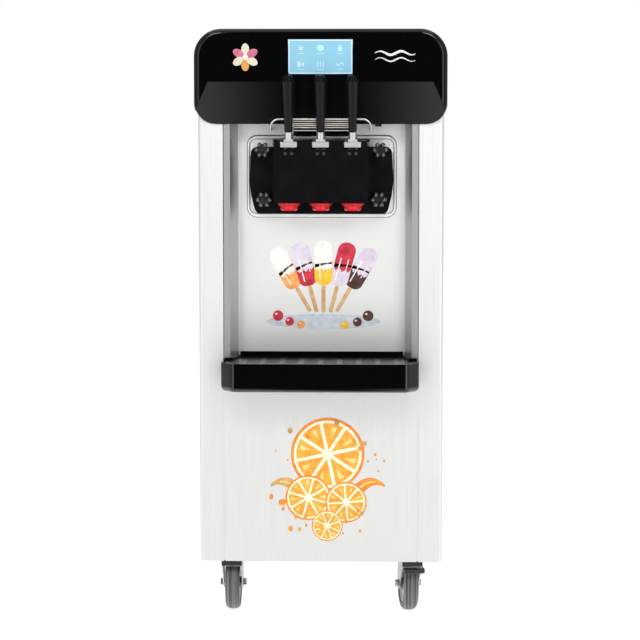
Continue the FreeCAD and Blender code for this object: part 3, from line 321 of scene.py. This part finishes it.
def new_piece(name, bm, materials, body):
    """Turn a bmesh into a piece that rides on a body."""
    mesh = bpy.data.meshes.new(name)
    bm.to_mesh(mesh)
    bm.free()
    for material in materials:
        mesh.materials.append(material)
    piece = bpy.data.objects.new(name, mesh)
    bpy.context.scene.collection.objects.link(piece)
    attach(piece, body)
    return piece


def printed(name, face, shapes, body):
    """Printed or lit shapes on an upright face; each is (material, outline), later ones on top."""
    bm = bmesh.new()
    materials = []
    for layer, (material, outline) in enumerate(shapes):
        if material not in materials:
            materials.append(material)
        depth = face - (0.12 + 0.008 * layer) * MM
        corners = [bm.verts.new((x * MM, depth, z * MM)) for x, z in outline]
        polygon = bm.faces.new(corners)
        polygon.material_index = materials.index(material)
        polygon.normal_update()
        if polygon.normal.y > 0:
            polygon.normal_flip()
    return new_piece(name, bm, materials, body)


def turned_ring(bm, profile, place, turn, segments=32, index=0):
    """Revolve (radius, height) pairs round z, then turn and place the ring."""
    spot = Matrix.Translation(place) @ turn
    rings = []
    for radius, height in profile:
        circle = [2 * math.pi * i / segments for i in range(segments)]
        rings.append([bm.verts.new(spot @ Vector((radius * MM * math.cos(t), radius * MM * math.sin(t),
                                                  height * MM))) for t in circle])
    for lower, upper in zip(rings, rings[1:]):
        for i in range(segments):
            j = (i + 1) % segments
            skin = bm.faces.new((lower[i], lower[j], upper[j], upper[i]))
            skin.material_index = index
            skin.smooth = True


def soft_block(bm, low, high, corner):
    """A moulded block with rounded edges, sizes in metres."""
    made = bmesh.ops.create_cube(bm, size=1.0)["verts"]
    size = Vector(high) - Vector(low)
    middle = (Vector(high) + Vector(low)) / 2
    for vert in made:
        vert.co = Vector(c * s for c, s in zip(vert.co, size)) + middle
    edges = {edge for vert in made for edge in vert.link_edges}
    bmesh.ops.bevel(bm, geom=list(edges), offset=corner, segments=3, affect="EDGES", profile=0.5)


# Plain signs of the touch screen, in millimetres round their own centres.
SIGNS = (
    [bar(0, 0, 1.8, 15, 0.9), bar(0, 0, 1.8, 15, 0.9, 60), bar(0, 0, 1.8, 15, 0.9, -60)],
    [oval(0, 1, 7.5, 6.5)],
    [[(0, 9), (5, 1), (5, -4), (2, -6.5), (-2, -6.5), (-5, -4), (-5, 1)]],
    [bar(-4, 0, 7, 11, 1.2), bar(5, 0, 5, 7, 1.2)],
    [bar(-6, 0, 1.8, 13, 0.9), bar(0, 0, 1.8, 13, 0.9), bar(6, 0, 1.8, 13, 0.9)],
    [ribbon([(x, 3 * math.sin(x * 0.45)) for x in range(-9, 10, 2)], [2.4] * 10)],
)


# ---- properties ------------------------------------------------------------

class SoftServePrints(bpy.types.PropertyGroup):
    """Prints on the two steel panels."""
    lollies: bpy.props.IntProperty(
        name="Lollies", description="Ice lollies in the upper print's fan", default=5, min=1, max=9)
    fan: bpy.props.FloatProperty(
        name="Fan", description="Angle from one lolly to the next, in degrees", default=15.0)
    slice_radius: bpy.props.FloatProperty(
        name="Slice radius", description="Largest citrus slice of the lower print",
        default=0.082, unit="LENGTH")
    drops: bpy.props.IntProperty(
        name="Drops", description="Small drops round the lower print", default=34, min=0, max=200)


class SoftServeHead(bpy.types.PropertyGroup):
    """Lit picture of the touch screen."""
    glow: bpy.props.FloatProperty(
        name="Glow", description="Strength of the display's own light", default=0.12)
    icon_gap: bpy.props.FloatProperty(
        name="Icon gap", description="From one icon's centre to the next, across",
        default=0.0425, unit="LENGTH")


class SoftServeStage(bpy.types.PropertyGroup):
    """Camera and light of the studio."""
    camera_distance: bpy.props.FloatProperty(
        name="Camera distance", description="From the cabinet's front to the camera",
        default=4.5, unit="LENGTH")
    camera_height: bpy.props.FloatProperty(
        name="Camera height", description="Height of the camera over the floor",
        default=1.149, unit="LENGTH")
    camera_side: bpy.props.FloatProperty(
        name="Camera side", description="Camera to the right of the machine's centre",
        default=0.12, unit="LENGTH")
    lens: bpy.props.FloatProperty(
        name="Lens", description="Focal length in millimetres", default=115.15)
    light: bpy.props.FloatProperty(
        name="Light", description="Strength of the studio light", default=1.0)


# ---- operators -------------------------------------------------------------

class SOFTSERVE_OT_panels(bpy.types.Operator):
    """Finish the stainless panels and the plated steel, and add the strips in the front seams."""
    bl_idname = "softserve.panels"
    bl_label = "Panels"

    def execute(self, context):
        steel = brushed_stainless("brushed_stainless", "#E4E4E2", "#F1F1EF", 0.5)
        cover(steel, "left_side_panel", "right_side_panel", "rear_panel", "top_panel",
              "lower_front_panel")
        # The serving bay's back gets painted light on its flat part and painted shade on its reveals.
        cover(stainless_painted_light_and_shade("stainless_painted_light_and_shade", "#F4F4F2", "#B0B0AE", 0.46), "dispensing_panel")
        bm = bmesh.new()
        for side in (-1, 1):
            ends = sorted((side * (PANEL_HIGH.x + 0.1 * MM), side * (PANEL_HIGH.x + 2.9 * MM)))
            soft_block(bm, (ends[0], PANEL_LOW.y + 0.5 * MM, PANEL_LOW.z + 2 * MM),
                       (ends[1], PANEL_LOW.y + 1.3 * MM, PANEL_HIGH.z - 2 * MM), 0.1 * MM)
        new_piece("seam_strips", bm, (steel,), "cabinet")
        tank = brushed_stainless("drawn_stainless", "#CDCDCB", "#DCDCDA", 0.26)
        cover(tank, "hopper_left", "hopper_right", "freezing_cylinders", "hopper_lid_left",
              "hopper_lid_right")
        cover(zinc_plate(), "cabinet_frame", "caster_plates", "fan_shroud", "door_studs",
              *["caster_fork_" + corner for corner in CORNERS])
        return {"FINISHED"}


class SOFTSERVE_OT_head(bpy.types.Operator):
    """Finish the head cowl and the glass of the touch screen."""
    bl_idname = "softserve.head"
    bl_label = "Head"

    def execute(self, context):
        cover(moulded_black("gloss_black_abs", "#060607", 0.06, level=0.33), "head_cowl")
        cover(lit_film("lit_display", "#83B6CD", context.scene.softserve_head.glow), "touch_screen")
        return {"FINISHED"}


class SOFTSERVE_OT_screen(bpy.types.Operator):
    """Draw the touch screen's picture: a pale border and six plain signs."""
    bl_idname = "softserve.screen"
    bl_label = "Screen picture"

    def execute(self, context):
        settings = context.scene.softserve_head
        glow = settings.glow
        border = lit_film("display_border", "#C9DEE7", glow)
        ground = lit_film("display_ground", "#83B6CD", glow)
        sign = lit_film("display_sign", "#B2D3E1", glow)
        middle = (SCREEN_LOW + SCREEN_HIGH) / (2 * MM)
        width, height = ((SCREEN_HIGH - SCREEN_LOW) / MM).x, ((SCREEN_HIGH - SCREEN_LOW) / MM).z
        shapes = [(border, bar(middle.x, middle.z, width - 1, height - 1, 2)),
                  (ground, bar(middle.x, middle.z, width - 5, height - 5, 1.5))]
        gap = settings.icon_gap / MM
        for row, up in ((0, 18), (1, -16)):
            for column in (-1, 0, 1):
                x, z = middle.x + column * gap, middle.z + up
                for outline in SIGNS[row * 3 + column + 1]:
                    shapes.append((sign, [(x + a, z + b) for a, b in outline]))
                shapes.append((sign, bar(x, z - 11, 15, 1.3, 0.6)))
        printed("screen_picture", SCREEN_LOW.y, shapes, "cabinet")
        return {"FINISHED"}


class SOFTSERVE_OT_emblem(bpy.types.Operator):
    """Print a plain blossom and two waves on the cowl."""
    bl_idname = "softserve.emblem"
    bl_label = "Cowl prints"

    def execute(self, context):
        cream = printed_film("cowl_print_cream", "#C6C0AA", "#D2CDB9", 0.3)
        pink = printed_film("cowl_print_pink", "#B65872", "#C77389", 0.3)
        amber = printed_film("cowl_print_amber", "#C08238", "#CE984F", 0.3)
        white = printed_film("cowl_print_white", "#CFCFCF", "#DADADA", 0.3)
        x, z = -163, 1243
        shapes = []
        for turn, ink in zip(range(0, 360, 60), (cream, pink, cream, amber, cream, pink)):
            petal = oval(0, 17, 8.5, 13)
            shapes.append((ink, turned(petal, x, z, turn)))
        shapes.append((white, disc(x, z, 6)))
        waves = []
        for level, size in ((1252, 5.0), (1238, 2.6)):
            line = [(118 + step * 4, level + 4 * math.sin(step * 0.55)) for step in range(23)]
            waves.append((white, ribbon(line, [size * math.sin(math.pi * (i + 1) / 24) + 0.6
                                               for i in range(23)])))
        printed("cowl_blossom", COWL_FACE, shapes, "cabinet")
        printed("cowl_waves", COWL_FACE, waves, "cabinet")
        return {"FINISHED"}


def lolly(x, z, angle, flavour, topping, glint, wood):
    """Ice lolly on a stick, leaning by an angle: body, dipped tip, two flutes and a glint."""
    dip = [(-19, 36), (-13, 30), (-6, 37), (1, 29), (8, 36), (14, 31), (19, 37)]
    tip = bar(0, 62, 38, 66, 18)
    upper = [point for point in tip if point[1] > 40]
    shapes = [(wood, bar(0, -34, 9, 62, 4)), (flavour, bar(0, 46, 40, 98, 16)),
              (topping, [(a * 1.06, b + 2) for a, b in upper] + dip)]
    shapes += [(glint, bar(-8, 34, 2.6, 52, 1.3)), (glint, bar(9, 44, 1.8, 34, 0.9))]
    return [(ink, turned(outline, x, z, angle)) for ink, outline in shapes]


class SOFTSERVE_OT_upper_print(bpy.types.Operator):
    """Print a fan of ice lollies on the panel over the tray."""
    bl_idname = "softserve.upper_print"
    bl_label = "Upper print"

    def execute(self, context):
        settings = context.scene.softserve_prints
        inks = {name: printed_film("print_" + name, *pair) for name, pair in {
            "orange": ("#E88F3A", "#F4B36B"), "red": ("#B3122E", "#D8304A"),
            "yellow": ("#F2B705", "#F9CF3C"), "brown": ("#3A1F17", "#5C3527"),
            "lilac": ("#CFC3D6", "#E3DAE6"), "cream": ("#EFE6DE", "#FBF6F0"),
            "wood": ("#C99A63", "#DDB684"), "shade": ("#B9C3CF", "#D5DBE2")}.items()}
        flavours = (("orange", "cream"), ("red", "lilac"), ("yellow", "cream"), ("lilac", "red"),
                    ("brown", "lilac"))
        count = settings.lollies
        shapes = [(inks["shade"], oval(4, 655, 128, 17))]
        for i in sorted(range(count), key=lambda n: -abs(n - (count - 1) / 2)):
            lean = (i - (count - 1) / 2) * settings.fan
            body, tip = flavours[i % len(flavours)]
            x = 4 + 62 * math.sin(math.radians(lean)) * 2
            z = 722 + 18 * math.cos(math.radians(lean * 1.6))
            shapes += lolly(x, z, -lean, inks[body], inks[tip], inks["cream"], inks["wood"])
        for x, z, radius, ink in ((-98, 668, 12, "red"), (-72, 655, 10, "red"), (104, 668, 12, "brown"),
                                  (80, 654, 10, "brown"), (-46, 648, 9, "orange"), (52, 647, 9, "yellow")):
            shapes += [(inks[ink], disc(x, z, radius)),
                       (inks["cream"], oval(x - radius / 3, z + radius / 3, radius / 4, radius / 6))]
        printed("upper_print", BACK_STEEL, shapes, "cabinet")
        return {"FINISHED"}


def citrus(x, z, radius, peel, pith, flesh, gleam, start=12):
    """Round slice of an orange: peel, pith and eight segments."""
    shapes = [(peel, disc(x, z, radius, 56)), (pith, disc(x, z, radius * 0.92, 56))]
    for turn in range(start, start + 360, 45):
        shapes.append((flesh, wedge(x, z, radius * 0.12, radius * 0.85, turn + 3, turn + 42)))
        shapes.append((gleam, wedge(x, z, radius * 0.46, radius * 0.76, turn + 13, turn + 24)))
    return shapes


class SOFTSERVE_OT_lower_print(bpy.types.Operator):
    """Print citrus slices, two ribbons of juice and drops on the service panel."""
    bl_idname = "softserve.lower_print"
    bl_label = "Lower print"

    def execute(self, context):
        settings = context.scene.softserve_prints
        peel = printed_film("print_peel", "#DE7A12", "#EE9426")
        pith = printed_film("print_pith", "#F6E3BE", "#FFF3D9")
        flesh = printed_film("print_flesh", "#F0941F", "#F8AE3B")
        gleam = printed_film("print_gleam", "#FAC35F", "#FFD68A")
        tan = printed_film("print_tan", "#BF8747", "#D8A566")
        radius = settings.slice_radius / MM
        shapes = []
        for side, ink in ((-1, tan), (1, peel)):
            line = [(15 + side * (18 + 5.2 * step), 196 + 13.5 * step - 0.42 * step * step)
                    for step in range(22)]
            widths = [3 + 22 * math.sin(math.pi * (step + 1) / 23) ** 1.4 for step in range(22)]
            shapes.append((ink, ribbon(line, widths)))
            shapes.append((gleam, ribbon(line[3:18], [w * 0.18 for w in widths[3:18]])))
        shapes += citrus(15, 366, radius, peel, pith, flesh, gleam)
        shapes += citrus(-28, 268, radius * 0.62, peel, pith, flesh, gleam, 30)
        shapes += citrus(56, 258, radius * 0.56, peel, pith, flesh, gleam, 5)
        shapes += citrus(14, 205, radius * 0.42, peel, pith, flesh, gleam, 20)
        scatter = random.Random(7)
        for number in range(settings.drops):
            turn = scatter.uniform(0, 2 * math.pi)
            reach = scatter.uniform(96, 140)
            x, z = 15 + reach * math.cos(turn) * 0.98, 312 + reach * math.sin(turn) * 1.02
            size = scatter.uniform(1.4, 5.5)
            shapes.append(((peel, flesh, tan)[number % 3], oval(x, z, size, size * 1.25, 18)))
        printed("lower_print", PANEL_LOW.y, shapes, "cabinet")
        return {"FINISHED"}


class SOFTSERVE_OT_door(bpy.types.Operator):
    """Finish the freezer door, its rim, knobs, caps, valves and handles."""
    bl_idname = "softserve.door"
    bl_label = "Door and handles"

    def execute(self, context):
        cover(moulded_black("black_door_plastic", "#09090A", 0.2), "freezer_door")
        for name in KNOBS:
            rounded(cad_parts["door_knob_" + name], 1.2, 3)
        cover(polished_stainless("polished_knob_metal", "#B4B5B9", 0.15),
              *["door_knob_" + name for name in KNOBS])
        cover(moulded_black("black_grip_plastic", "#050506", 0.24, level=0.14),
              *["handle_grip_" + side for side in SIDES])
        cover(textured_plastic("red_cap_plastic", "#CE0F22", 0.34),
              *["nozzle_cap_" + side for side in SIDES])
        cover(brushed_stainless("satin_stainless", "#A6A6A6", "#BABABA", 0.34),
              *["handle_lever_" + side for side in SIDES])
        cover(polished_stainless("drawn_wire", "#D8D0C8", 0.3), "trigger_bar")
        cover(polished_stainless(), "handle_pivot_pin")
        rounded(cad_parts["door_rim"], 2.2, 3)
        cover(brushed_stainless("buffed_rim", "#FAFAFA", "#FFFFFF", 0.5), "door_rim")
        cover(textured_plastic("white_acetal", "#DADAD6", 0.4),
              *["draw_valve_" + side for side in SIDES], "beater_left", "beater_right")
        cover(textured_plastic("black_rubber", "#1A1A1B", 0.7), "door_gaskets", "micro_switch",
              "cable_gland", "limit_screws")
        return {"FINISHED"}


class SOFTSERVE_OT_knob_domes(bpy.types.Operator):
    """Add the domes on the lobes of the star knobs, each of which catches a point of light."""
    bl_idname = "softserve.knob_domes"
    bl_label = "Knob domes"

    def execute(self, context):
        dome = [(4.5 * math.cos(math.radians(a)) + 0.01, 3.4 * math.sin(math.radians(a)))
                for a in range(0, 91, 10)]
        outward = Matrix.Rotation(math.pi / 2, 4, "X")
        gloss = moulded_black("gloss_knob_plastic", "#0A0A0C", 0.07, 1.0, 0.9)
        lobe_circle = 12.9 * MM
        for name in KNOBS:
            low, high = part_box("door_knob_" + name)
            x, z = (low.x + high.x) / 2, (low.z + high.z) / 2
            bm = bmesh.new()
            for turn in (math.radians(60 * lobe) for lobe in range(6)):
                place = Vector((x + lobe_circle * math.cos(turn), low.y + 1.3 * MM,
                                z + lobe_circle * math.sin(turn)))
                turned_ring(bm, dome, place, outward, 20)
            bmesh.ops.recalc_face_normals(bm, faces=bm.faces)
            new_piece("knob_domes_" + name, bm, (gloss,), "knob_" + name)
        return {"FINISHED"}


class SOFTSERVE_OT_rim_shade_and_glint(bpy.types.Operator):
    """Add a grey ring round the rim of the door, a painted shadow line, and a plate of the rim's buffed
    steel behind the door's corners, a painted highlight.
    """
    bl_idname = "softserve.door_seal"
    bl_label = "Door seal"
    # This step paints a shadow line round the rim and a highlight behind the door's corners.

    def execute(self, context):
        low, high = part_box("door_rim")
        middle, size = (low + high) / (2 * MM), (high - low) / MM
        # Painted shadow: the grey ring round the rim stands for the shadow line at the rim's edge.
        painted_shadow_ring = textured_plastic("grey_painted_rim_shadow", "#55565A", 0.6)
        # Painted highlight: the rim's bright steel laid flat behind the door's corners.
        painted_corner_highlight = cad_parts["door_rim"].data.materials[0]
        printed("rim_painted_shadow_and_highlight", BACK_STEEL, [(painted_shadow_ring, bar(middle.x, middle.z, size.x + 2.6, size.z + 2.6, 23.3)),
                                         (painted_corner_highlight, bar(middle.x, middle.z, size.x - 6, size.z - 6, 19))],
                "cabinet")
        return {"FINISHED"}


class SOFTSERVE_OT_switch_cover(bpy.types.Operator):
    """Add the ribbed black cover on the panel behind the wire bail."""
    bl_idname = "softserve.switch_cover"
    bl_label = "Switch cover"

    def execute(self, context):
        plate, rib = 63 * MM, 59 * MM
        bm = bmesh.new()
        soft_block(bm, (-plate, BACK_STEEL - 5 * MM, 1065 * MM),
                   (plate, BACK_STEEL - 0.2 * MM, 1097 * MM), 1.2 * MM)
        for step in range(4):
            level = (1070 + 7.2 * step) * MM
            soft_block(bm, (-rib, BACK_STEEL - 7.5 * MM, level),
                       (rib, BACK_STEEL - 4.6 * MM, level + 2.2 * MM), 0.8 * MM)
        new_piece("switch_cover", bm, (moulded_black("black_cover_plastic", "#0B0B0C", 0.2),),
                  "cabinet")
        return {"FINISHED"}


class SOFTSERVE_OT_tray(bpy.types.Operator):
    """Finish the drip tray and its grid."""
    bl_idname = "softserve.tray"
    bl_label = "Drip tray"

    def execute(self, context):
        cover(moulded_black("gloss_black_tray", "#060607", 0.07), "drip_tray")
        cover(moulded_black("black_grid_plastic", "#050506", 0.2, level=0.25), "tray_grid")
        return {"FINISHED"}


class SOFTSERVE_OT_casters(bpy.types.Operator):
    """Finish the wheels and the brake pedal, and add hub faces and black blocks of painted shade under the
    fork crowns.
    """
    bl_idname = "softserve.casters"
    bl_label = "Casters"

    def execute(self, context):
        tread_painted_shade = rubber_painted_groove_shade("grey_rubber_painted_groove_shade", "#3C3C3D", "#727274")
        cover(tread_painted_shade, *["caster_wheel_" + corner for corner in CORNERS])
        black = textured_plastic("black_pedal_plastic", "#161617", 0.45)
        cover(black, "brake_pedal")
        hub = textured_plastic("grey_hub_plastic", "#8B8D90", 0.4)
        cap = polished_stainless("bearing_steel", "#C9CBCD")
        for corner in CORNERS:
            self.hub_faces(corner, hub, cap)
            self.crown_painted_shade(corner, black)
        return {"FINISHED"}

    def hub_faces(self, corner, hub, cap):
        """A dished hub disc and a bearing seal on each side of the wheel."""
        low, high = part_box("caster_wheel_" + corner)
        middle = (low + high) / 2
        angle = TURNED_CASTER if corner == "front_right" else 0
        bm = bmesh.new()
        for side in (-1, 1):
            face = Matrix.Rotation(angle, 4, "Z") @ Matrix.Rotation(side * math.pi / 2, 4, "Y")
            turned_ring(bm, [(12.2, 12.1), (15, 13.4), (19, 13.9), (22, 12.6), (33, 12.6), (37, 14.2),
                             (41.4, 14.4), (41.9, 12.0)], middle, face, 48, 0)
            turned_ring(bm, [(5.4, 18.2), (9.8, 18.3), (10.9, 17.9)], middle, face, 32, 1)
        bmesh.ops.recalc_face_normals(bm, faces=bm.faces)
        new_piece("hub_faces_" + corner, bm, (hub, cap), "wheel_" + corner)

    def crown_painted_shade(self, corner, black):
        """A black block under the fork's crown that stands for the shade under the cabinet's edge: a painted
        shade.
        """
        braked = corner == "front_right"
        low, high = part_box("caster_fork_" + ("front_left" if braked else corner))
        middle = -(low.x + high.x) / 2 if braked else (low.x + high.x) / 2
        top = high.z - 3 * MM
        bm = bmesh.new()
        # Painted shade: a black block where the crown lies in shadow.
        soft_block(bm, (middle - 23 * MM, low.y - 1.2 * MM, top - 19 * MM),
                   (middle + 23 * MM, low.y + 1.6 * MM, top), 1.1 * MM)
        if braked:
            swivel = Matrix.Translation((middle, SWIVEL_Y, 0))
            bm.transform(swivel @ Matrix.Rotation(TURNED_CASTER, 4, "Z") @ swivel.inverted())
        new_piece("crown_painted_shade_" + corner, bm, (black,), "fork_" + corner)


class SOFTSERVE_OT_fasteners(bpy.types.Operator):
    """Add the pan-head screws that hold the rear panel."""
    bl_idname = "softserve.fasteners"
    bl_label = "Fasteners"

    def execute(self, context):
        steel = polished_stainless("screw_steel", "#B9BBBE")
        low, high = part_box("rear_panel")
        inset = 12 * MM
        rows = [high.z - inset - n * (high.z - low.z - 2 * inset) / 5 for n in range(6)]
        heads = [(x, z) for z in rows for x in (low.x + inset, high.x - inset)]
        bm = bmesh.new()
        turn = Matrix.Rotation(-math.pi / 2, 4, "X")
        for x, z in heads:
            turned_ring(bm, SCREW_HEAD, Vector((x, REAR_FACE, z)), turn, 24)
        bmesh.ops.recalc_face_normals(bm, faces=bm.faces)
        new_piece("rear_screws", bm, (steel,), "cabinet")
        return {"FINISHED"}


class SOFTSERVE_OT_works(bpy.types.Operator):
    """Finish the pieces inside the cabinet."""
    bl_idname = "softserve.works"
    bl_label = "Inner works"

    def execute(self, context):
        cover(sprayed_enamel("black_enamel", "#151516"), "compressor")
        cover(sprayed_enamel("grey_enamel", "#6B7075"), "gear_motors")
        cover(brushed_stainless("fin_aluminium", "#B8BABC", "#CDCFD1", 0.4), "condenser")
        cover(textured_plastic("black_fan_plastic", "#18181A", 0.5), "condenser_fan")
        cover(textured_plastic("cream_foam", "#D8CDA0", 0.9, 3.0), "cylinder_insulation")
        cover(textured_plastic("clear_tube_plastic", "#D9DEE0", 0.3), "air_tubes")
        return {"FINISHED"}


# Soft boxes and lamps: (name, place, target, size in metres, power in watts).
MIDDLE = (0, 0, 0.75)
DOOR = (0, -0.25, 1.0)
LIGHTS = (
    ("left_box", (-1.75, -4.3, 0.85), MIDDLE, (1.5, 3.0), 19),
    ("right_box", (1.75, -4.3, 0.85), MIDDLE, (1.5, 3.0), 26),
    ("top_box", (0, -0.6, 3.4), (0, 0, 0), (3.0, 3.0), 26),
    ("left_lamp", (-0.95, -3.2, 2.9), DOOR, (0.9, 0.9), 25),
    ("right_lamp", (0.95, -3.2, 2.9), DOOR, (0.9, 0.9), 25),
)
# Slope of the sight line down to the machine, its turn to the left, and the lens shift.
PITCH, YAW, SHIFT = 4.515, 1.553, -0.09


def area_light(name, place, target, size, power):
    """A rectangular soft light that the camera doesn't see."""
    data = bpy.data.lights.new(name, "AREA")
    data.shape = "RECTANGLE"
    data.size, data.size_y = size
    data.energy = power
    light = bpy.data.objects.new(name, data)
    bpy.context.scene.collection.objects.link(light)
    light.location = place
    aim = Vector(target) - Vector(place)
    light.rotation_euler = aim.to_track_quat("-Z", "Y").to_euler()
    light.visible_camera = False


def tent_world(name, strength):
    """White light tent with a dark gap in front, where the camera looks in: white to the camera."""
    world = bpy.data.worlds.new(name)
    world.use_nodes = True
    tree = world.node_tree
    tree.nodes.clear()
    place = add_node(tree, "ShaderNodeTexCoord")
    parts = add_node(tree, "ShaderNodeSeparateXYZ", {"Vector": place.outputs["Generated"]})
    ahead = add_node(tree, "ShaderNodeMath", {0: parts.outputs["Y"], 1: -1.0}, operation="MULTIPLY")
    swing = add_node(tree, "ShaderNodeMath", {0: parts.outputs["X"], 1: ahead.outputs[0]},
                     operation="ARCTAN2")
    centred = add_node(tree, "ShaderNodeMath", {0: swing.outputs[0], 1: 0.04}, operation="ADD")
    aside = add_node(tree, "ShaderNodeMath", {0: centred.outputs[0]}, operation="ABSOLUTE")
    # The gap, in radians to each side, closes towards the floor, and the floor side is brighter.
    height = parts.outputs["Z"]
    inner = spread(tree, height, -0.45, -0.09, 0.02, 0.16)
    outer = spread(tree, height, -0.45, -0.09, 0.12, 0.35)
    level = spread(tree, height, -0.4, -0.1, 1.75 * strength, 0.5 * strength)
    gap = spread(tree, aside.outputs[0], inner, outer, 0.012, level, interpolation_type="SMOOTHSTEP")
    tent = add_node(tree, "ShaderNodeBackground", {"Strength": gap})
    white = add_node(tree, "ShaderNodeBackground", {"Color": (1, 1, 1, 1), "Strength": 1.0})
    tent.inputs["Color"].default_value = (1, 1, 1, 1)
    ray = add_node(tree, "ShaderNodeLightPath")
    both = add_node(tree, "ShaderNodeMixShader", {0: ray.outputs["Is Camera Ray"],
                                                  1: tent.outputs[0], 2: white.outputs[0]})
    add_node(tree, "ShaderNodeOutputWorld", {"Surface": both.outputs[0]})
    return world


class SOFTSERVE_OT_stage(bpy.types.Operator):
    """Set up the floor, the studio light and the camera."""
    bl_idname = "softserve.stage"
    bl_label = "Stage"

    def execute(self, context):
        scene = context.scene
        settings = scene.softserve_stage
        scene.view_settings.view_transform = "Standard"
        scene.world = tent_world("light_tent", 1.1 * settings.light)
        self.floor(scene)
        for name, place, target, size, power in LIGHTS:
            area_light(name, place, target, size, power * settings.light)
        self.camera(scene, settings)
        return {"FINISHED"}

    def floor(self, scene):
        """A pale floor with some light of its own, so that it stays white round the wheels."""
        half = 9.0
        mesh = bpy.data.meshes.new("floor")
        mesh.from_pydata([(-half, -half, 0), (half, -half, 0), (half, half, 0), (-half, half, 0)],
                         [], [(0, 1, 2, 3)])
        ground, _, shader = finish_of("pale_floor", "#F8F8F8", 0.8, Emission_Strength=0.7)
        shader.inputs["Emission Color"].default_value = (1, 1, 1, 1)
        mesh.materials.append(ground)
        floor = bpy.data.objects.new("floor", mesh)
        floor.visible_glossy = False
        scene.collection.objects.link(floor)

    def camera(self, scene, settings):
        """A long lens in front of the machine, a little to its right."""
        data = bpy.data.cameras.new("camera")
        data.lens = settings.lens
        data.sensor_width = 36
        data.shift_y = SHIFT
        camera = bpy.data.objects.new("camera", data)
        scene.collection.objects.link(camera)
        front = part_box("left_side_panel")[0].y
        camera.location = (settings.camera_side, front - settings.camera_distance,
                           settings.camera_height)
        camera.rotation_euler = (math.radians(90 - PITCH), 0, math.radians(YAW))
        scene.camera = camera


class SOFTSERVE_PT_panel(bpy.types.Panel):
    """Buttons for every step, and the settings."""
    bl_idname = "SOFTSERVE_PT_panel"
    bl_label = "Soft serve"
    bl_space_type = "VIEW_3D"
    bl_region_type = "UI"
    bl_category = "Soft serve"

    def draw(self, context):
        for step in STEPS:
            self.layout.operator(step.bl_idname)
        for place, group in GROUPS.items():
            for name in group.__annotations__:
                self.layout.prop(getattr(context.scene, place), name)


STEPS = (SOFTSERVE_OT_panels, SOFTSERVE_OT_head, SOFTSERVE_OT_screen, SOFTSERVE_OT_emblem,
         SOFTSERVE_OT_door, SOFTSERVE_OT_knob_domes, SOFTSERVE_OT_rim_shade_and_glint,
         SOFTSERVE_OT_switch_cover, SOFTSERVE_OT_tray, SOFTSERVE_OT_upper_print,
         SOFTSERVE_OT_lower_print, SOFTSERVE_OT_casters, SOFTSERVE_OT_fasteners, SOFTSERVE_OT_works,
         SOFTSERVE_OT_stage)
GROUPS = {"softserve_prints": SoftServePrints, "softserve_head": SoftServeHead,
          "softserve_stage": SoftServeStage}


def register():
    """Register the settings, the operators and the sidebar panel."""
    for place, group in GROUPS.items():
        bpy.utils.register_class(group)
        setattr(bpy.types.Scene, place, bpy.props.PointerProperty(type=group))
    for step in STEPS:
        bpy.utils.register_class(step)
    bpy.utils.register_class(SOFTSERVE_PT_panel)


def unregister():
    """Take the add-on out again."""
    bpy.utils.unregister_class(SOFTSERVE_PT_panel)
    for step in reversed(STEPS):
        bpy.utils.unregister_class(step)
    for place, group in GROUPS.items():
        delattr(bpy.types.Scene, place)
        bpy.utils.unregister_class(group)


def main():
    """Run every step in order."""
    register()
    for step in STEPS:
        family, name = step.bl_idname.split(".")
        getattr(getattr(bpy.ops, family), name)()


if __name__ == "__main__":
    main()
